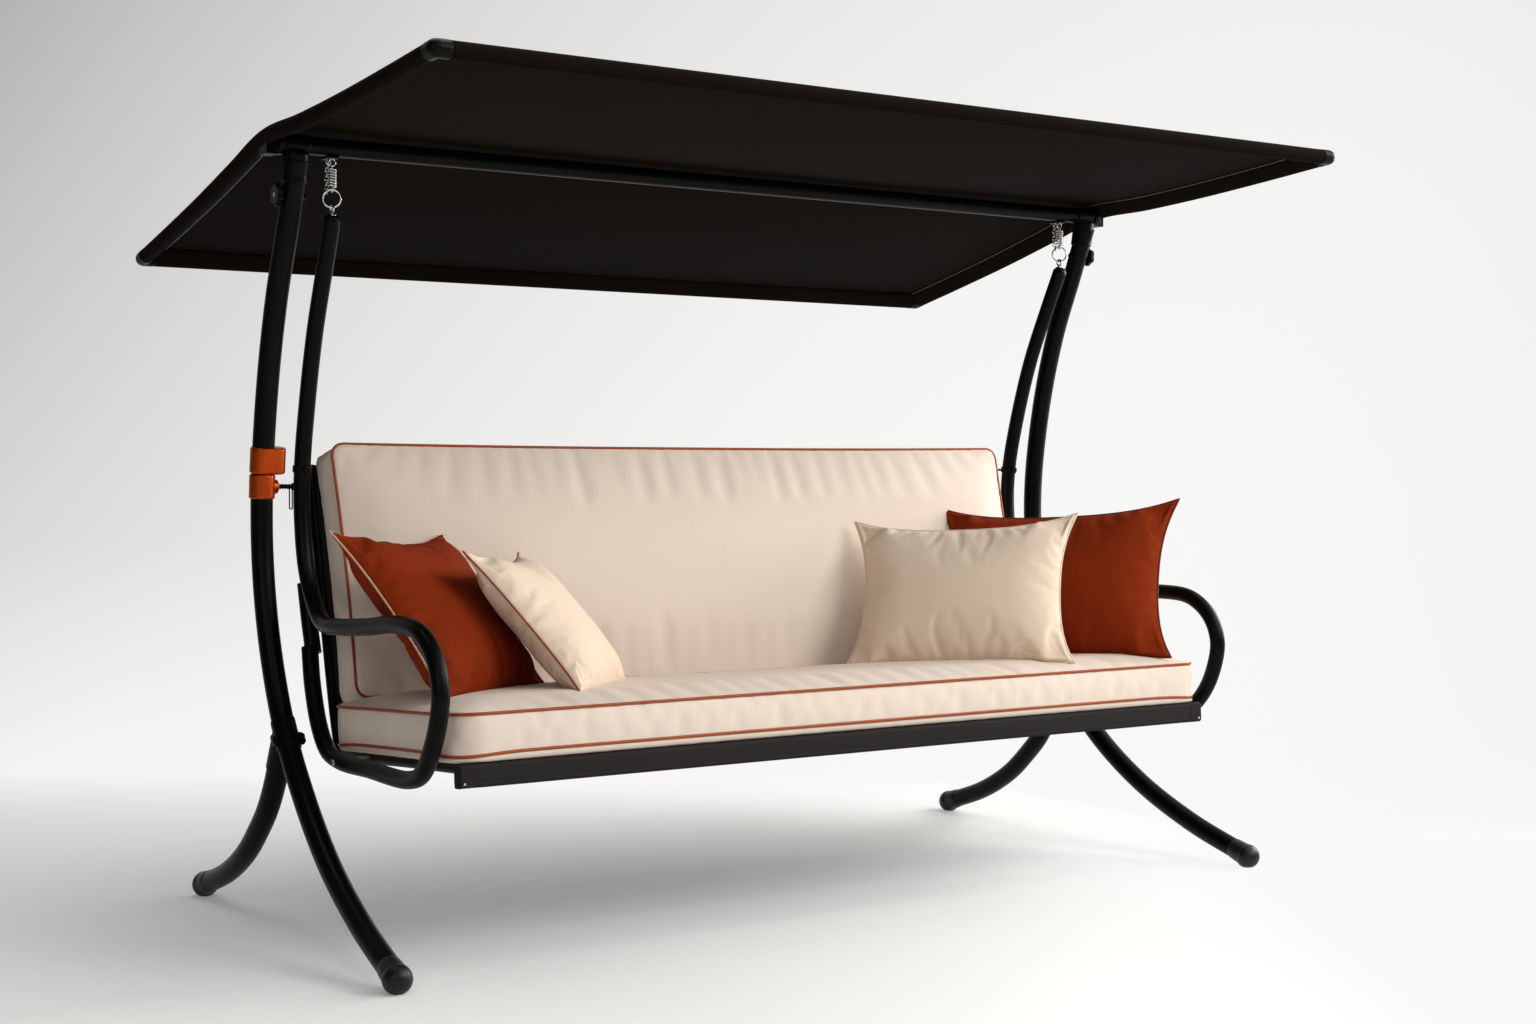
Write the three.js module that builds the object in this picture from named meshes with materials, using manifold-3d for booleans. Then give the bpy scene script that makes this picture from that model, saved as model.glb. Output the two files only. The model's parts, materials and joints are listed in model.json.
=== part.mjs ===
// Garden swing seat with a tilting canopy: millimetres, +Z up, -Y to the front, +X to the right.
// The origin is on the ground under the middle of the crossbar, which is also the hang line.
import * as THREE from "three";
import { mergeVertices } from "three/addons/utils/BufferGeometryUtils.js";
import Module from "manifold-3d";

const wasm = await Module();
wasm.setup();

// Fits and facets
const touchGap = 0.3; // between two pieces that touch
const boltPlay = 0.4; // round a bolt's shank in its hole
const overrun = 4; // how far a cutting tool runs past what it cuts
const sink = 1; // how far welded pieces run into each other
const weldGap = 0.001; // corners closer than this are one
const tubeSides = 10;
const barSides = 8;
const roundSides = 10;
const ballSides = 12;
const wireSides = 5;
const eyeSteps = 12;
const ringSteps = 20;
const linkSteps = 6;
const stepsPerCurl = 8;
const turnPerStation = 0.2; // radians between two stations of a bent tube
const longestStation = 200; // on a nearly straight stretch

// Stand: two bowed posts with a rear leg each
const postTube = 50;
const postPlane = 1160; // from the middle to each post's axis
const frontReach = 590; // from the hang line to the front foot
const rearReach = 578;
const frontSplay = 37; // the front feet stand wider than the posts
const footBall = 62;
const footFlat = 3; // flat that the ball stands on
const footSleeve = 57;
const footSleeveLength = 48;
const footChamfer = 3;
const socketDepth = 34;
const postShares = [
  [-0.025, 1], [0.064, 0.925], [0.187, 0.825], [0.287, 0.702], [0.344, 0.565], [0.333, 0.46],
  [0.262, 0.355], [0.127, 0.253], [-0.078, 0.168], [-0.349, 0.096], [-0.664, 0.041], [-1, 0],
];
const legJoint = 446; // height at which the rear leg leaves the post
const legShares = [
  [0, 1], [0.045, 0.9], [0.11, 0.73], [0.2, 0.565], [0.315, 0.425], [0.455, 0.285], [0.68, 0.135], [1, 0],
];

// Brackets that clamp the rear legs to the posts
const bracketWall = 4;
const bracketOnPost = 62;
const bracketOnLeg = 46;
const bracketAboveShare = 0.4; // of its length on the post, above the leg's joint
const earRadius = 11;
const earWidth = 26;
const earOut = 4; // ear's centre beyond the bracket's outside
const legBolt = 8;
const boltHead = 15;
const boltHeadHeight = 6;

// Crossbar, post heads and the hooks under it
const crossbarTube = 40;
const crossbarHeight = 1738;
const postDrop = 34; // post's top below the crossbar's axis
const postTop = crossbarHeight - postDrop;
const headWall = 4.5;
const headWidth = 56;
const headDrop = 52; // how far the head's socket reaches down the post
const hangPlane = 1075; // from the middle to each spring
const hookPlateLength = 44;
const hookPlateWidth = 26;
const hookPlateWall = 4;
const eyeRadius = 8; // to the middle of the eye's wire
const eyeWire = 4.4;
const chainEyeBack = 19; // chain's eye behind the spring's eye
const chainEyeRadius = 5;
const chainEyeWire = 3;

// Tilt knobs on the posts' outer faces
const knobDrop = 76; // below the post's top
const knobHeight = postTop - knobDrop;
const knobRadius = 24;
const knobDepth = 13;
const knobLobes = 6;
const knobScallopShare = 0.07;
const knobBevel = 2;
const knobShank = 8;
const knobCollar = 14;
const knobStandOff = 4;
const nutWidth = 15;
const nutDepth = 7;

// Canopy frame and its cloth
const canopyTurn = 0.12; // radians between the stations of its bent rails
const canopyTube = 32;
const canopyPlane = 1222; // from the middle to each side rail
const crossbarShy = 3; // crossbar's end short of the side rail
const crossbarReach = canopyPlane - canopyTube / 2 - crossbarShy;
const canopyReach = 824; // from the hang line to the front and rear bars
const frontBarHeight = 1808;
const rearBarHeight = 1553;
const ridgeRise = 12; // canopy's ridge above the crossbar's axis
const ridgeHeight = crossbarHeight + ridgeRise;
const ridgeBack = 10;
const canopyFrontShares = [[0.24, 0.13], [0.5, 0.36], [0.75, 0.66]];
const canopyRearShares = [[0.235, 0.25], [0.48, 0.51], [0.75, 0.77]];
const clothThickness = 3;
const hemWrapShare = 1.25; // share of a half turn that the hem goes round its bar
const hubWall = 6;
const hubWidth = 13;
const saddleDrop = 30;
const saddleLength = 44;

// Suspension: spring, safety chain and ring on each side
const springWire = 4;
const springCoil = 22; // outer diameter
const springCurls = 7;
const springPitch = 6;
const hookLoop = 5; // radius of the spring's end loops, to the middle of the wire
const topHookShare = 0.83; // of a half turn, in each hook's outer half
const footHookShare = 1.33;
const ringRadius = 19.5;
const ringWire = 4;
const ringTurn = 30; // degrees that the rings hang turned
const linkCount = 7;
const linkWire = 2.6;
const linkWidth = 10.8;
const linkSink = 0.7; // how far each link presses into the next
const chainBow = 7; // slack of the chain to the rear
const chainFootTurn = 35; // degrees round the ring from its top to the chain's last link

// Arm hangers: hanger, armrest, front, lower run and rear upright
const hangerTube = 38;
const hangerPlane = 1063;
const armPlane = 1096;
const eyeReach = 32.9; // from the hanger's top to the wire that its eye hangs on
const hangerBow = 203;
const armHeight = 708;
const armReach = 578; // from the hang line to the arm's front
const lowerRun = 388;
const capHeight = 15;
const capTaper = 26;
const hangerEyeRadius = 8;
const hangerEyeWire = 5;
const eyeShankShare = 1.4; // of the eye's wire
const uprightTube = 37;
const hangerShares = [
  [0, 1], [0.236, 0.887], [0.552, 0.726], [0.813, 0.541], [0.975, 0.38], [1, 0.255], [0.9, 0.115], [0.7, 0.03],
];
const armShares = [
  [-0.13, 0.932, 0.2], [0.035, 0.92, 0.45], [0.346, 0.952, 0.75], [0.66, 1, 0.95], [0.84, 0.965, 1],
  [0.955, 0.82, 1], [1, 0.63, 1], [0.982, 0.43, 1], [0.925, 0.225, 1], [0.84, 0.07, 0.9], [0.72, 0.008, 0.8],
  [0.346, 0, 0.6], [0.09, 0.002, 0.58], [-0.03, 0.053, 0.58], [-0.112, 0.208, 0.58], [-0.195, 0.488, 0.45],
  [-0.255, 0.74, 0.2],
];
const uprightShares = [[-0.245, 0.7], [-0.285, 0.92], [-0.325, 1.19]];

// Seat deck: sloped, with its own frame at the cushion's lower front edge
const deckFront = 566;
const deckHeight = 435;
const deckPitch = 3.3; // degrees, falling to the rear
const seatDepth = 632;
const cushionHalf = 1060;
const seatThickness = 106;
const seatCrown = 13;
const slingThickness = 2.5;
const frontRailDepth = 24;
const frontRailHeight = 44;
const frontRailHalf = 1046;
const frontRailCorner = 6;
const frontRailWall = 2;
const railTube = 25;
const railPlane = 1005;
const bendRadius = 62;
const railMidShare = 0.45; // a point on the rail, of the seat's depth
const bendShares = [0.1, 0.35]; // of the bend's radius from the corner
const seatBoltBack = 60; // seat bolt ahead of the hang line
const seatBolt = 8;
const spacerTube = 17;

// Back: leans from the rear of the deck
const backLean = 14.1; // degrees
const backHalf = 992;
const backHeight = 592;
const backThickness = 112;
const backCrown = 14;
const backFoot = 516; // height of the back cushion's lower front edge
const backFootForward = 38; // its distance behind the hang line
const topRailDrop = 22; // top rail below the cushion's top
const stayHeight = 1030; // its clamp clears the brake pad when the springs are longest
const stayRod = 6;
const stayClampWidth = 16;
const stayClampWall = 3;
const stayKnob = 15;
const stayKnobShare = 0.6; // the knob's depth, of its width
const stayFoot = 11;

// Piping and rounding of the two large cushions
const cornerRadius = 62;
const pipeRadius = 4.5;
const pipeInset = 7;
const edgeRound = 14;
const drawIn = 7; // how far the sides pull in between the corners
const sidePull = 1; // how far the boxing pulls in between its two pipings
const leastCorner = 1;
const flatShare = 0.55; // innermost ring of the flat underside, of half the depth
const crownPower = 2.6;
const crownShares = [0.04, 0.13, 0.3, 0.52, 0.8]; // of the way in from the edge to the middle

// Pillows: [x, y, z of the centre], turn, lean, width, height, thickness
const pillowDrawShare = 0.07; // how far an edge pulls in between two ears
const restDrawShare = 0.015; // the lower edge, which the seat holds straight
const flattenShare = 0.25; // how much the crown falls towards the ears
const pillowCells = 10;
const leftRust = { at: [-874, -132, 738], turn: 34, lean: 36, width: 450, height: 440, thick: 150 };
const leftCream = { at: [-640, -195, 706], turn: 46, lean: 39, width: 410, height: 390, thick: 130 };
const rightRust = { at: [868, -205, 768], turn: -60, lean: 19, width: 640, height: 420, thick: 150 };
const rightCream = { at: [545, -215, 742], turn: -50, lean: 24, width: 570, height: 400, thick: 145 };

// Swing brake on the left post
const brakeHeight = 990;
const collarFoot = 1020;
const collarHeight = 60;
const collarWall = 4;
const collarBulge = 23; // how far the collar reaches towards the seat
const collarEdge = 4;
const clampGap = 2.5; // below the collar
const clampHeight = 54;
const bossTube = 33;
const bossReach = 35; // boss's end from the post's axis
const plungerRod = 8;
const flangeTube = 22;
const springSeatWidth = 3;
const shoulderWidth = 2.4;
const neckWall = 0.6; // either side of the loop's cross hole
const padTube = 17;
const padWidth = 5;
const brakeCurls = 4;
const brakeWire = 2.2;
const brakeCoil = 13;
const loopWire = 3;
const loopWidth = 20;
const loopLength = 54;
const plungerTravel = 8;

const halfShare = 0.5;
const X = new THREE.Vector3(1, 0, 0);
const Y = new THREE.Vector3(0, 1, 0);
const Z = new THREE.Vector3(0, 0, 1);
const sides = { left: -1, right: 1 };

const black = new THREE.MeshStandardMaterial({ color: 0x17181a, roughness: 0.42, metalness: 0.35 });
const rubber = new THREE.MeshStandardMaterial({ color: 0x151515, roughness: 0.8, metalness: 0 });
const chrome = new THREE.MeshStandardMaterial({ color: 0xd0d0ce, roughness: 0.15, metalness: 1 });
const copper = new THREE.MeshStandardMaterial({ color: 0xb04a12, roughness: 0.35, metalness: 0.6 });
const cloth = new THREE.MeshStandardMaterial({ color: 0x1c1916, roughness: 0.9, metalness: 0 });
const sleeve = new THREE.MeshStandardMaterial({ color: 0x2b2827, roughness: 0.85, metalness: 0 });
const cream = new THREE.MeshStandardMaterial({ color: 0xdccdb8, roughness: 0.95, metalness: 0 });
const rust = new THREE.MeshStandardMaterial({ color: 0x8c3012, roughness: 0.95, metalness: 0 });

const v = (x, y, z) => new THREE.Vector3(x, y, z);
const radians = THREE.MathUtils.degToRad;
const mix = THREE.MathUtils.lerp;

// A closed geometry as a solid that can be joined and cut
function solid(geometry) {
  const bare = geometry.clone();
  for (const name of Object.keys(bare.attributes)) {
    if (name !== "position") bare.deleteAttribute(name);
  }
  const merged = mergeVertices(bare, weldGap);
  return new wasm.Manifold(new wasm.Mesh({
    numProp: 3,
    vertProperties: merged.attributes.position.array,
    triVerts: new Uint32Array(merged.index.array),
  }));
}

function geometryOf(made) {
  const mesh = made.getMesh();
  const geometry = new THREE.BufferGeometry();
  geometry.setAttribute("position", new THREE.BufferAttribute(new Float32Array(mesh.vertProperties), 3));
  geometry.setIndex(new THREE.BufferAttribute(new Uint32Array(mesh.triVerts), 1));
  geometry.computeVertexNormals();
  return geometry;
}

const join = (...shapes) => geometryOf(shapes.map(solid).reduce((a, b) => a.add(b)));
const cut = (body, ...tools) => geometryOf(tools.map(solid).reduce((a, b) => a.subtract(b), solid(body)));

// A bent tube's centre line, whose stations are close in the bends and far apart on the straights
class BentLine extends THREE.Curve {
  constructor(points, from = 0, to = 1, turnBetween = turnPerStation) {
    super();
    this.smooth = new THREE.CatmullRomCurve3(points, false, "centripetal");
    this.smooth.arcLengthDivisions = 600;
    const samples = 400;
    const length = this.smooth.getLength();
    this.stations = [from];
    let turned = 0;
    let run = 0;
    let before = this.smooth.getTangentAt(from);
    for (let i = 1; i <= samples; i++) {
      const at = mix(from, to, i / samples);
      const now = this.smooth.getTangentAt(at);
      turned += before.angleTo(now);
      run += length * (to - from) / samples;
      before = now;
      if (i === samples || turned > turnBetween || run > longestStation) {
        this.stations.push(at);
        turned = 0;
        run = 0;
      }
    }
  }

  // The same stations with the last one moved on, for a socket that is deeper than its tube
  longer(by) {
    const copy = Object.create(this);
    copy.stations = [...this.stations.slice(0, -1), this.stations.at(-1) + by / this.smooth.getLength()];
    return copy;
  }

  place(share) {
    const index = Math.round(share * (this.stations.length - 1));
    return this.stations[index];
  }

  getPoint(share) {
    return this.smooth.getPointAt(this.place(share));
  }

  getPointAt(share) {
    return this.getPoint(share);
  }

  getTangentAt(share) {
    return this.smooth.getTangentAt(this.place(share));
  }
}

function polygon(radius, count, start = 0) {
  const shape = new THREE.Shape();
  for (let i = 0; i < count; i++) {
    const angle = start + 2 * Math.PI * i / count;
    const x = radius * Math.cos(angle);
    const y = radius * Math.sin(angle);
    if (i) shape.lineTo(x, y);
    else shape.moveTo(x, y);
  }
  return shape;
}

function bentTube(line, diameter, count = tubeSides) {
  return new THREE.ExtrudeGeometry(polygon(diameter / 2, count, Math.PI / count), {
    steps: line.stations.length - 1,
    extrudePath: line,
    bevelEnabled: false,
  });
}

// A straight round bar between two points
function bar(from, to, diameter, count = tubeSides) {
  const along = to.clone().sub(from);
  const geometry = new THREE.CylinderGeometry(diameter / 2, diameter / 2, along.length(), count);
  geometry.rotateY(Math.PI / count);
  geometry.applyQuaternion(new THREE.Quaternion().setFromUnitVectors(Y, along.normalize()));
  const middle = from.clone().add(to).multiplyScalar(halfShare);
  return geometry.translate(middle.x, middle.y, middle.z);
}

function block(width, depth, height, at) {
  return new THREE.BoxGeometry(width, depth, height).translate(at.x, at.y, at.z);
}

// A flat outline given as points, extruded along its normal
function extruded(points, depth) {
  const shape = new THREE.Shape(points.map(([x, y]) => new THREE.Vector2(x, y)));
  return new THREE.ExtrudeGeometry(shape, { depth, bevelEnabled: false });
}

// The same outline in the YZ plane, extruded along X about the middle
function extrudedAlongX(points, width, middle = 0) {
  const geometry = extruded(points, width);
  geometry.applyMatrix4(new THREE.Matrix4().makeBasis(Y, Z, X));
  return geometry.translate(middle - width / 2, 0, 0);
}

// A turned profile of [radius, height] points about the Z axis
function turned(profile, count = roundSides) {
  const geometry = new THREE.LatheGeometry(profile.map(([r, h]) => new THREE.Vector2(r, h)), count);
  return geometry.rotateX(Math.PI / 2);
}

// Wire along a list of points, with flat ends and no twist between its rings
function wire(points, diameter, closed = false) {
  const positions = [];
  const index = [];
  const count = points.length;
  const tangent = (i) => {
    const before = closed ? points[(i + count - 1) % count] : points[Math.max(i - 1, 0)];
    const after = closed ? points[(i + 1) % count] : points[Math.min(i + 1, count - 1)];
    return after.clone().sub(before).normalize();
  };
  let along = tangent(0);
  let across = Math.abs(along.z) < halfShare ? Z.clone() : X.clone();
  for (let i = 0; i < count; i++) {
    const next = tangent(i);
    across.applyQuaternion(new THREE.Quaternion().setFromUnitVectors(along, next));
    across.sub(next.clone().multiplyScalar(across.dot(next))).normalize();
    along = next;
    const up = along.clone().cross(across);
    for (let j = 0; j < wireSides; j++) {
      const angle = 2 * Math.PI * j / wireSides;
      const p = points[i].clone();
      p.addScaledVector(across, Math.cos(angle) * diameter / 2);
      p.addScaledVector(up, Math.sin(angle) * diameter / 2);
      positions.push(p.x, p.y, p.z);
    }
  }
  const rings = closed ? count : count - 1;
  for (let i = 0; i < rings; i++) {
    for (let j = 0; j < wireSides; j++) {
      const a = i * wireSides + j;
      const b = i * wireSides + (j + 1) % wireSides;
      const c = ((i + 1) % count) * wireSides + j;
      const d = ((i + 1) % count) * wireSides + (j + 1) % wireSides;
      index.push(a, b, c, b, d, c);
    }
  }
  if (!closed) {
    const last = (count - 1) * wireSides;
    for (let j = 1; j < wireSides - 1; j++) {
      index.push(0, j + 1, j, last, last + j, last + j + 1);
    }
  }
  const geometry = new THREE.BufferGeometry();
  geometry.setAttribute("position", new THREE.Float32BufferAttribute(positions, 3));
  geometry.setIndex(index);
  return geometry;
}

// The point and direction of a bent tube's centre line where it first passes a height
function atHeight(line, height) {
  const corners = line.stations.map((share) => line.smooth.getPointAt(share));
  for (let i = 1; i < corners.length; i++) {
    const before = corners[i - 1];
    const after = corners[i];
    if ((before.z - height) * (after.z - height) <= 0) {
      const share = (height - before.z) / (after.z - before.z);
      return { point: before.clone().lerp(after, share), along: after.clone().sub(before).normalize() };
    }
  }
  throw new Error("the centre line doesn't reach that height");
}

const part = new THREE.Group();

function add(group, name, geometry, material, at = null) {
  const mesh = new THREE.Mesh(geometry, material);
  mesh.name = name;
  if (at) mesh.position.copy(at);
  group.add(mesh);
  return mesh;
}

// Stand
const footCentre = footBall / 2 - footFlat;

function postPoints(side) {
  return postShares.map(([y, z]) => {
    const forward = Math.max(0, -y);
    return v(side * (postPlane + frontSplay * forward), y * frontReach, mix(footCentre, postTop, z));
  });
}

// The post's and the leg's tubes end inside their feet
function intoFoot(points) {
  const length = new THREE.CatmullRomCurve3(points, false, "centripetal").getLength();
  return new BentLine(points, 0, 1 - (footSleeveLength - socketDepth) / length);
}

function legPoints(side) {
  const start = atHeight(new BentLine(postPoints(side)), legJoint).point;
  return legShares.map(([y, z]) => v(start.x, mix(start.y, rearReach, y), mix(footCentre, start.z, z)));
}

// A rubber foot: a ball below a sleeve that takes the tube's end
function ballFoot(line, tube) {
  const centre = line.smooth.getPointAt(1);
  const upTube = line.smooth.getTangentAt(1).negate();
  const ballRadius = footBall / 2;
  const sleeveRadius = footSleeve / 2;
  const meet = Math.asin(sleeveRadius / ballRadius);
  const profile = [];
  const arcSteps = 4;
  for (let i = 0; i <= arcSteps; i++) {
    const angle = mix(Math.PI, meet, i / arcSteps);
    profile.push([ballRadius * Math.sin(angle), ballRadius * Math.cos(angle)]);
  }
  profile[0][0] = 0;
  profile.push([sleeveRadius, footSleeveLength - footChamfer]);
  profile.push([sleeveRadius - footChamfer / 2, footSleeveLength]);
  profile.push([0, footSleeveLength]);
  const outside = turned(profile, ballSides);
  outside.applyQuaternion(new THREE.Quaternion().setFromUnitVectors(Z, upTube));
  outside.translate(centre.x, centre.y, centre.z);
  const ground = block(footBall * 2, footBall * 2, footBall, v(centre.x, centre.y, -footBall / 2));
  const foot = cut(outside, bentTube(line.longer(touchGap), tube + 2 * touchGap), ground);
  return { geometry: foot.translate(-centre.x, -centre.y, -centre.z), centre };
}

function stand(side, label) {
  const line = intoFoot(postPoints(side));
  const knobAt = atHeight(line, knobHeight).point;
  const boltHole = bar(
    v(knobAt.x - postTube, knobAt.y, knobAt.z),
    v(knobAt.x + postTube, knobAt.y, knobAt.z),
    knobShank + 2 * boltPlay, barSides,
  );
  const inboard = knobAt.x - side * (postTube / 2 + nutDepth / 2);
  const nut = new THREE.CylinderGeometry(nutWidth / 2, nutWidth / 2, nutDepth + 2 * sink, 6);
  nut.rotateZ(Math.PI / 2).translate(inboard + side * sink, knobAt.y, knobAt.z);
  add(part, `${label}_post`, cut(join(bentTube(line, postTube), nut), boltHole), black);

  const legLine = intoFoot(legPoints(side));
  const fatPost = bentTube(line, postTube + 2 * touchGap);
  add(part, `${label}_rear_leg`, cut(bentTube(legLine, postTube), fatPost), black);

  const frontFoot = ballFoot(line, postTube);
  add(part, `${label}_front_foot`, frontFoot.geometry, rubber, frontFoot.centre);
  const rearFoot = ballFoot(legLine, postTube);
  add(part, `${label}_rear_foot`, rearFoot.geometry, rubber, rearFoot.centre);
  return { line, legLine, fatPost };
}

// The clamp that holds a rear leg to its post, with an ear at its front and rear edge
function legBracket(side, label, parts) {
  const outer = postTube + 2 * bracketWall;
  const top = atHeight(parts.line, legJoint + bracketOnPost * bracketAboveShare);
  const foot = atHeight(parts.line, legJoint - bracketOnPost * (1 - bracketAboveShare));
  const onPost = bar(top.point, foot.point, outer, roundSides);
  const legLength = parts.legLine.smooth.getLength();
  const legFrom = parts.legLine.smooth.getPointAt(0);
  const legTo = parts.legLine.smooth.getPointAt((bracketOnLeg + postTube) / legLength);
  const onLeg = bar(legFrom, legTo, outer, roundSides);
  const across = top.point.clone().sub(foot.point).normalize().cross(X).normalize();
  const ears = [-1, 1].map((way) => {
    const centre = top.point.clone().addScaledVector(across, way * (outer / 2 + earOut));
    centre.z -= earRadius / 4;
    const lug = bar(centre.clone().addScaledVector(X, -earWidth / 2),
      centre.clone().addScaledVector(X, earWidth / 2), earRadius * 2);
    return { centre, lug };
  });
  const fatLeg = bentTube(parts.legLine, postTube + 2 * touchGap);
  const rearEar = ears[0].centre.y > ears[1].centre.y ? ears[0] : ears[1];
  const reach = earWidth / 2 + overrun;
  const hole = bar(rearEar.centre.clone().addScaledVector(X, -reach),
    rearEar.centre.clone().addScaledVector(X, reach), legBolt + 2 * boltPlay, barSides);
  const body = join(onPost, onLeg, ears[0].lug, ears[1].lug);
  add(part, `${label}_leg_bracket`, cut(body, parts.fatPost, fatLeg, hole), black);

  const seat = earWidth / 2 + touchGap;
  const shank = bar(v(-seat, 0, 0), v(seat, 0, 0), legBolt, barSides);
  const head = bar(v(side * seat, 0, 0), v(side * (seat + boltHeadHeight), 0, 0), boltHead, 6);
  const nut = bar(v(-side * seat, 0, 0), v(-side * (seat + boltHeadHeight), 0, 0), boltHead, 6);
  add(part, `${label}_leg_bolt`, join(shank, head, nut), chrome, rearEar.centre);
}

// The head that ties the post's top to the crossbar
function postHead(side, label, parts) {
  const top = parts.line.smooth.getPointAt(0);
  const low = parts.line.smooth.getPointAt(headDrop / parts.line.smooth.getLength());
  const beam = v(side * postPlane, 0, crossbarHeight);
  const crown = bar(
    v(beam.x - headWidth / 2, beam.y, beam.z),
    v(beam.x + headWidth / 2, beam.y, beam.z),
    crossbarTube + 2 * headWall, roundSides,
  );
  const socketTop = top.clone().lerp(beam, halfShare);
  const socket = bar(low, socketTop, postTube + 2 * headWall, roundSides);
  const beamHole = bar(v(beam.x - headWidth, 0, beam.z), v(beam.x + headWidth, 0, beam.z),
    crossbarTube + 2 * touchGap, roundSides);
  const down = parts.line.smooth.getTangentAt(0);
  const postEnd = bar(top.clone().addScaledVector(down, overrun * 2), top.clone().addScaledVector(down, -touchGap),
    postTube + 2 * touchGap);
  add(part, `${label}_post_head`, cut(join(crown, socket), beamHole, parts.fatPost, postEnd), black);
}

const hookPlateTop = crossbarHeight - crossbarTube / 2 - touchGap;
const eyeCentre = hookPlateTop - hookPlateWall - eyeRadius + eyeWire / 4;
const swingAxis = eyeCentre - eyeRadius; // middle of the wire that the spring hangs on
const springTop = swingAxis + eyeWire / 2 + springWire / 2 + 2 * touchGap;
const coilLength = springCurls * springPitch;
const springFoot = springTop - 2 * hookLoop - 2 * hookLoop - coilLength;
const ringTop = springFoot + springWire / 2 + ringWire / 2 + touchGap;
const ringCentre = ringTop - ringRadius;
const rockAxis = ringCentre - ringRadius; // middle of the wire that the hanger eye hangs on
const hangerTop = rockAxis - eyeReach;

// Eyes under the crossbar for the spring and, behind it, the safety chain
function hookEye(side, label) {
  const plate = new THREE.BoxGeometry(hookPlateWidth, hookPlateLength, hookPlateWall + crossbarTube / 4);
  plate.translate(0, chainEyeBack / 2, -hookPlateWall / 2 + crossbarTube / 8);
  const beam = bar(v(-hookPlateWidth, 0, crossbarTube / 2 + touchGap),
    v(hookPlateWidth, 0, crossbarTube / 2 + touchGap), crossbarTube + 2 * touchGap, roundSides);
  const springEye = new THREE.TorusGeometry(eyeRadius, eyeWire / 2, wireSides, eyeSteps);
  springEye.rotateX(Math.PI / 2).translate(0, 0, -hookPlateWall - eyeRadius + eyeWire / 4);
  const chainEye = new THREE.TorusGeometry(chainEyeRadius, chainEyeWire / 2, wireSides, eyeSteps);
  chainEye.rotateX(Math.PI / 2).translate(0, chainEyeBack, -hookPlateWall - chainEyeRadius + chainEyeWire / 4);
  add(part, `${label}_hook_eye`, join(cut(plate, beam), springEye, chainEye), chrome,
    v(side * hangPlane, 0, hookPlateTop));
}

// A lobed knob on the post's outer face, with its screw through the post
function tiltKnob(side, label, parts) {
  const at = atHeight(parts.line, knobHeight).point;
  const points = [];
  const steps = 4 * knobLobes;
  for (let i = 0; i < steps; i++) {
    const angle = 2 * Math.PI * i / steps;
    const radius = knobRadius * (1 - knobScallopShare * Math.cos(knobLobes * angle)) - knobBevel;
    points.push([radius * Math.cos(angle), radius * Math.sin(angle)]);
  }
  const shape = new THREE.Shape(points.map(([x, y]) => new THREE.Vector2(x, y)));
  const grip = new THREE.ExtrudeGeometry(shape, {
    depth: knobDepth - 2 * knobBevel, bevelSize: knobBevel, bevelThickness: knobBevel, bevelSegments: 1,
  });
  grip.translate(0, 0, postTube / 2 + knobStandOff + knobBevel);
  const collarFrom = postTube / 2 + touchGap;
  const collar = bar(v(0, 0, collarFrom), v(0, 0, postTube / 2 + knobStandOff + knobBevel), knobCollar, barSides);
  const screwEnd = -postTube / 2 - nutDepth;
  const screw = bar(v(0, 0, screwEnd), v(0, 0, collarFrom + knobStandOff), knobShank, barSides);
  const knob = join(grip, collar, screw);
  knob.applyQuaternion(new THREE.Quaternion().setFromUnitVectors(Z, v(side, 0, 0)));
  add(part, `${label}_tilt_knob`, knob, black, at);
}

// Canopy: side rails with a kink at the crossbar, front and rear bars, hubs and the cloth
const canopyProfile = [
  [canopyReach, rearBarHeight],
  ...canopyRearShares.toReversed().map(([y, z]) => [mix(ridgeBack, canopyReach, y), mix(ridgeHeight, rearBarHeight, z)]),
  [ridgeBack, ridgeHeight],
  ...canopyFrontShares.map(([y, z]) => [mix(ridgeBack, -canopyReach, y), mix(ridgeHeight, frontBarHeight, z)]),
  [-canopyReach, frontBarHeight],
];

function canopyLine(x, short = 0) {
  const points = canopyProfile.map(([y, z]) => v(x, y, z));
  const end = short / new THREE.CatmullRomCurve3(points, false, "centripetal").getLength();
  return new BentLine(points, end, 1 - end, canopyTurn);
}

function canopyFrame() {
  const barEnds = canopyPlane + canopyTube / 2;
  const barAt = (y, z, diameter) => bar(v(-barEnds, y, z), v(barEnds, y, z), diameter);
  const frontBar = barAt(-canopyReach, frontBarHeight, canopyTube);
  const rearBar = barAt(canopyReach, rearBarHeight, canopyTube);
  const fatFront = barAt(-canopyReach, frontBarHeight, canopyTube + 2 * touchGap);
  const fatRear = barAt(canopyReach, rearBarHeight, canopyTube + 2 * touchGap);
  add(part, "canopy_front_bar", frontBar, black);
  add(part, "canopy_rear_bar", rearBar, black);
  for (const [label, side] of Object.entries(sides)) {
    const line = canopyLine(side * canopyPlane, canopyTube / 2 - overrun);
    add(part, `canopy_${label}_rail`, cut(bentTube(line, canopyTube), fatFront, fatRear), black);
    canopyBracket(side, label);
  }
}

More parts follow.
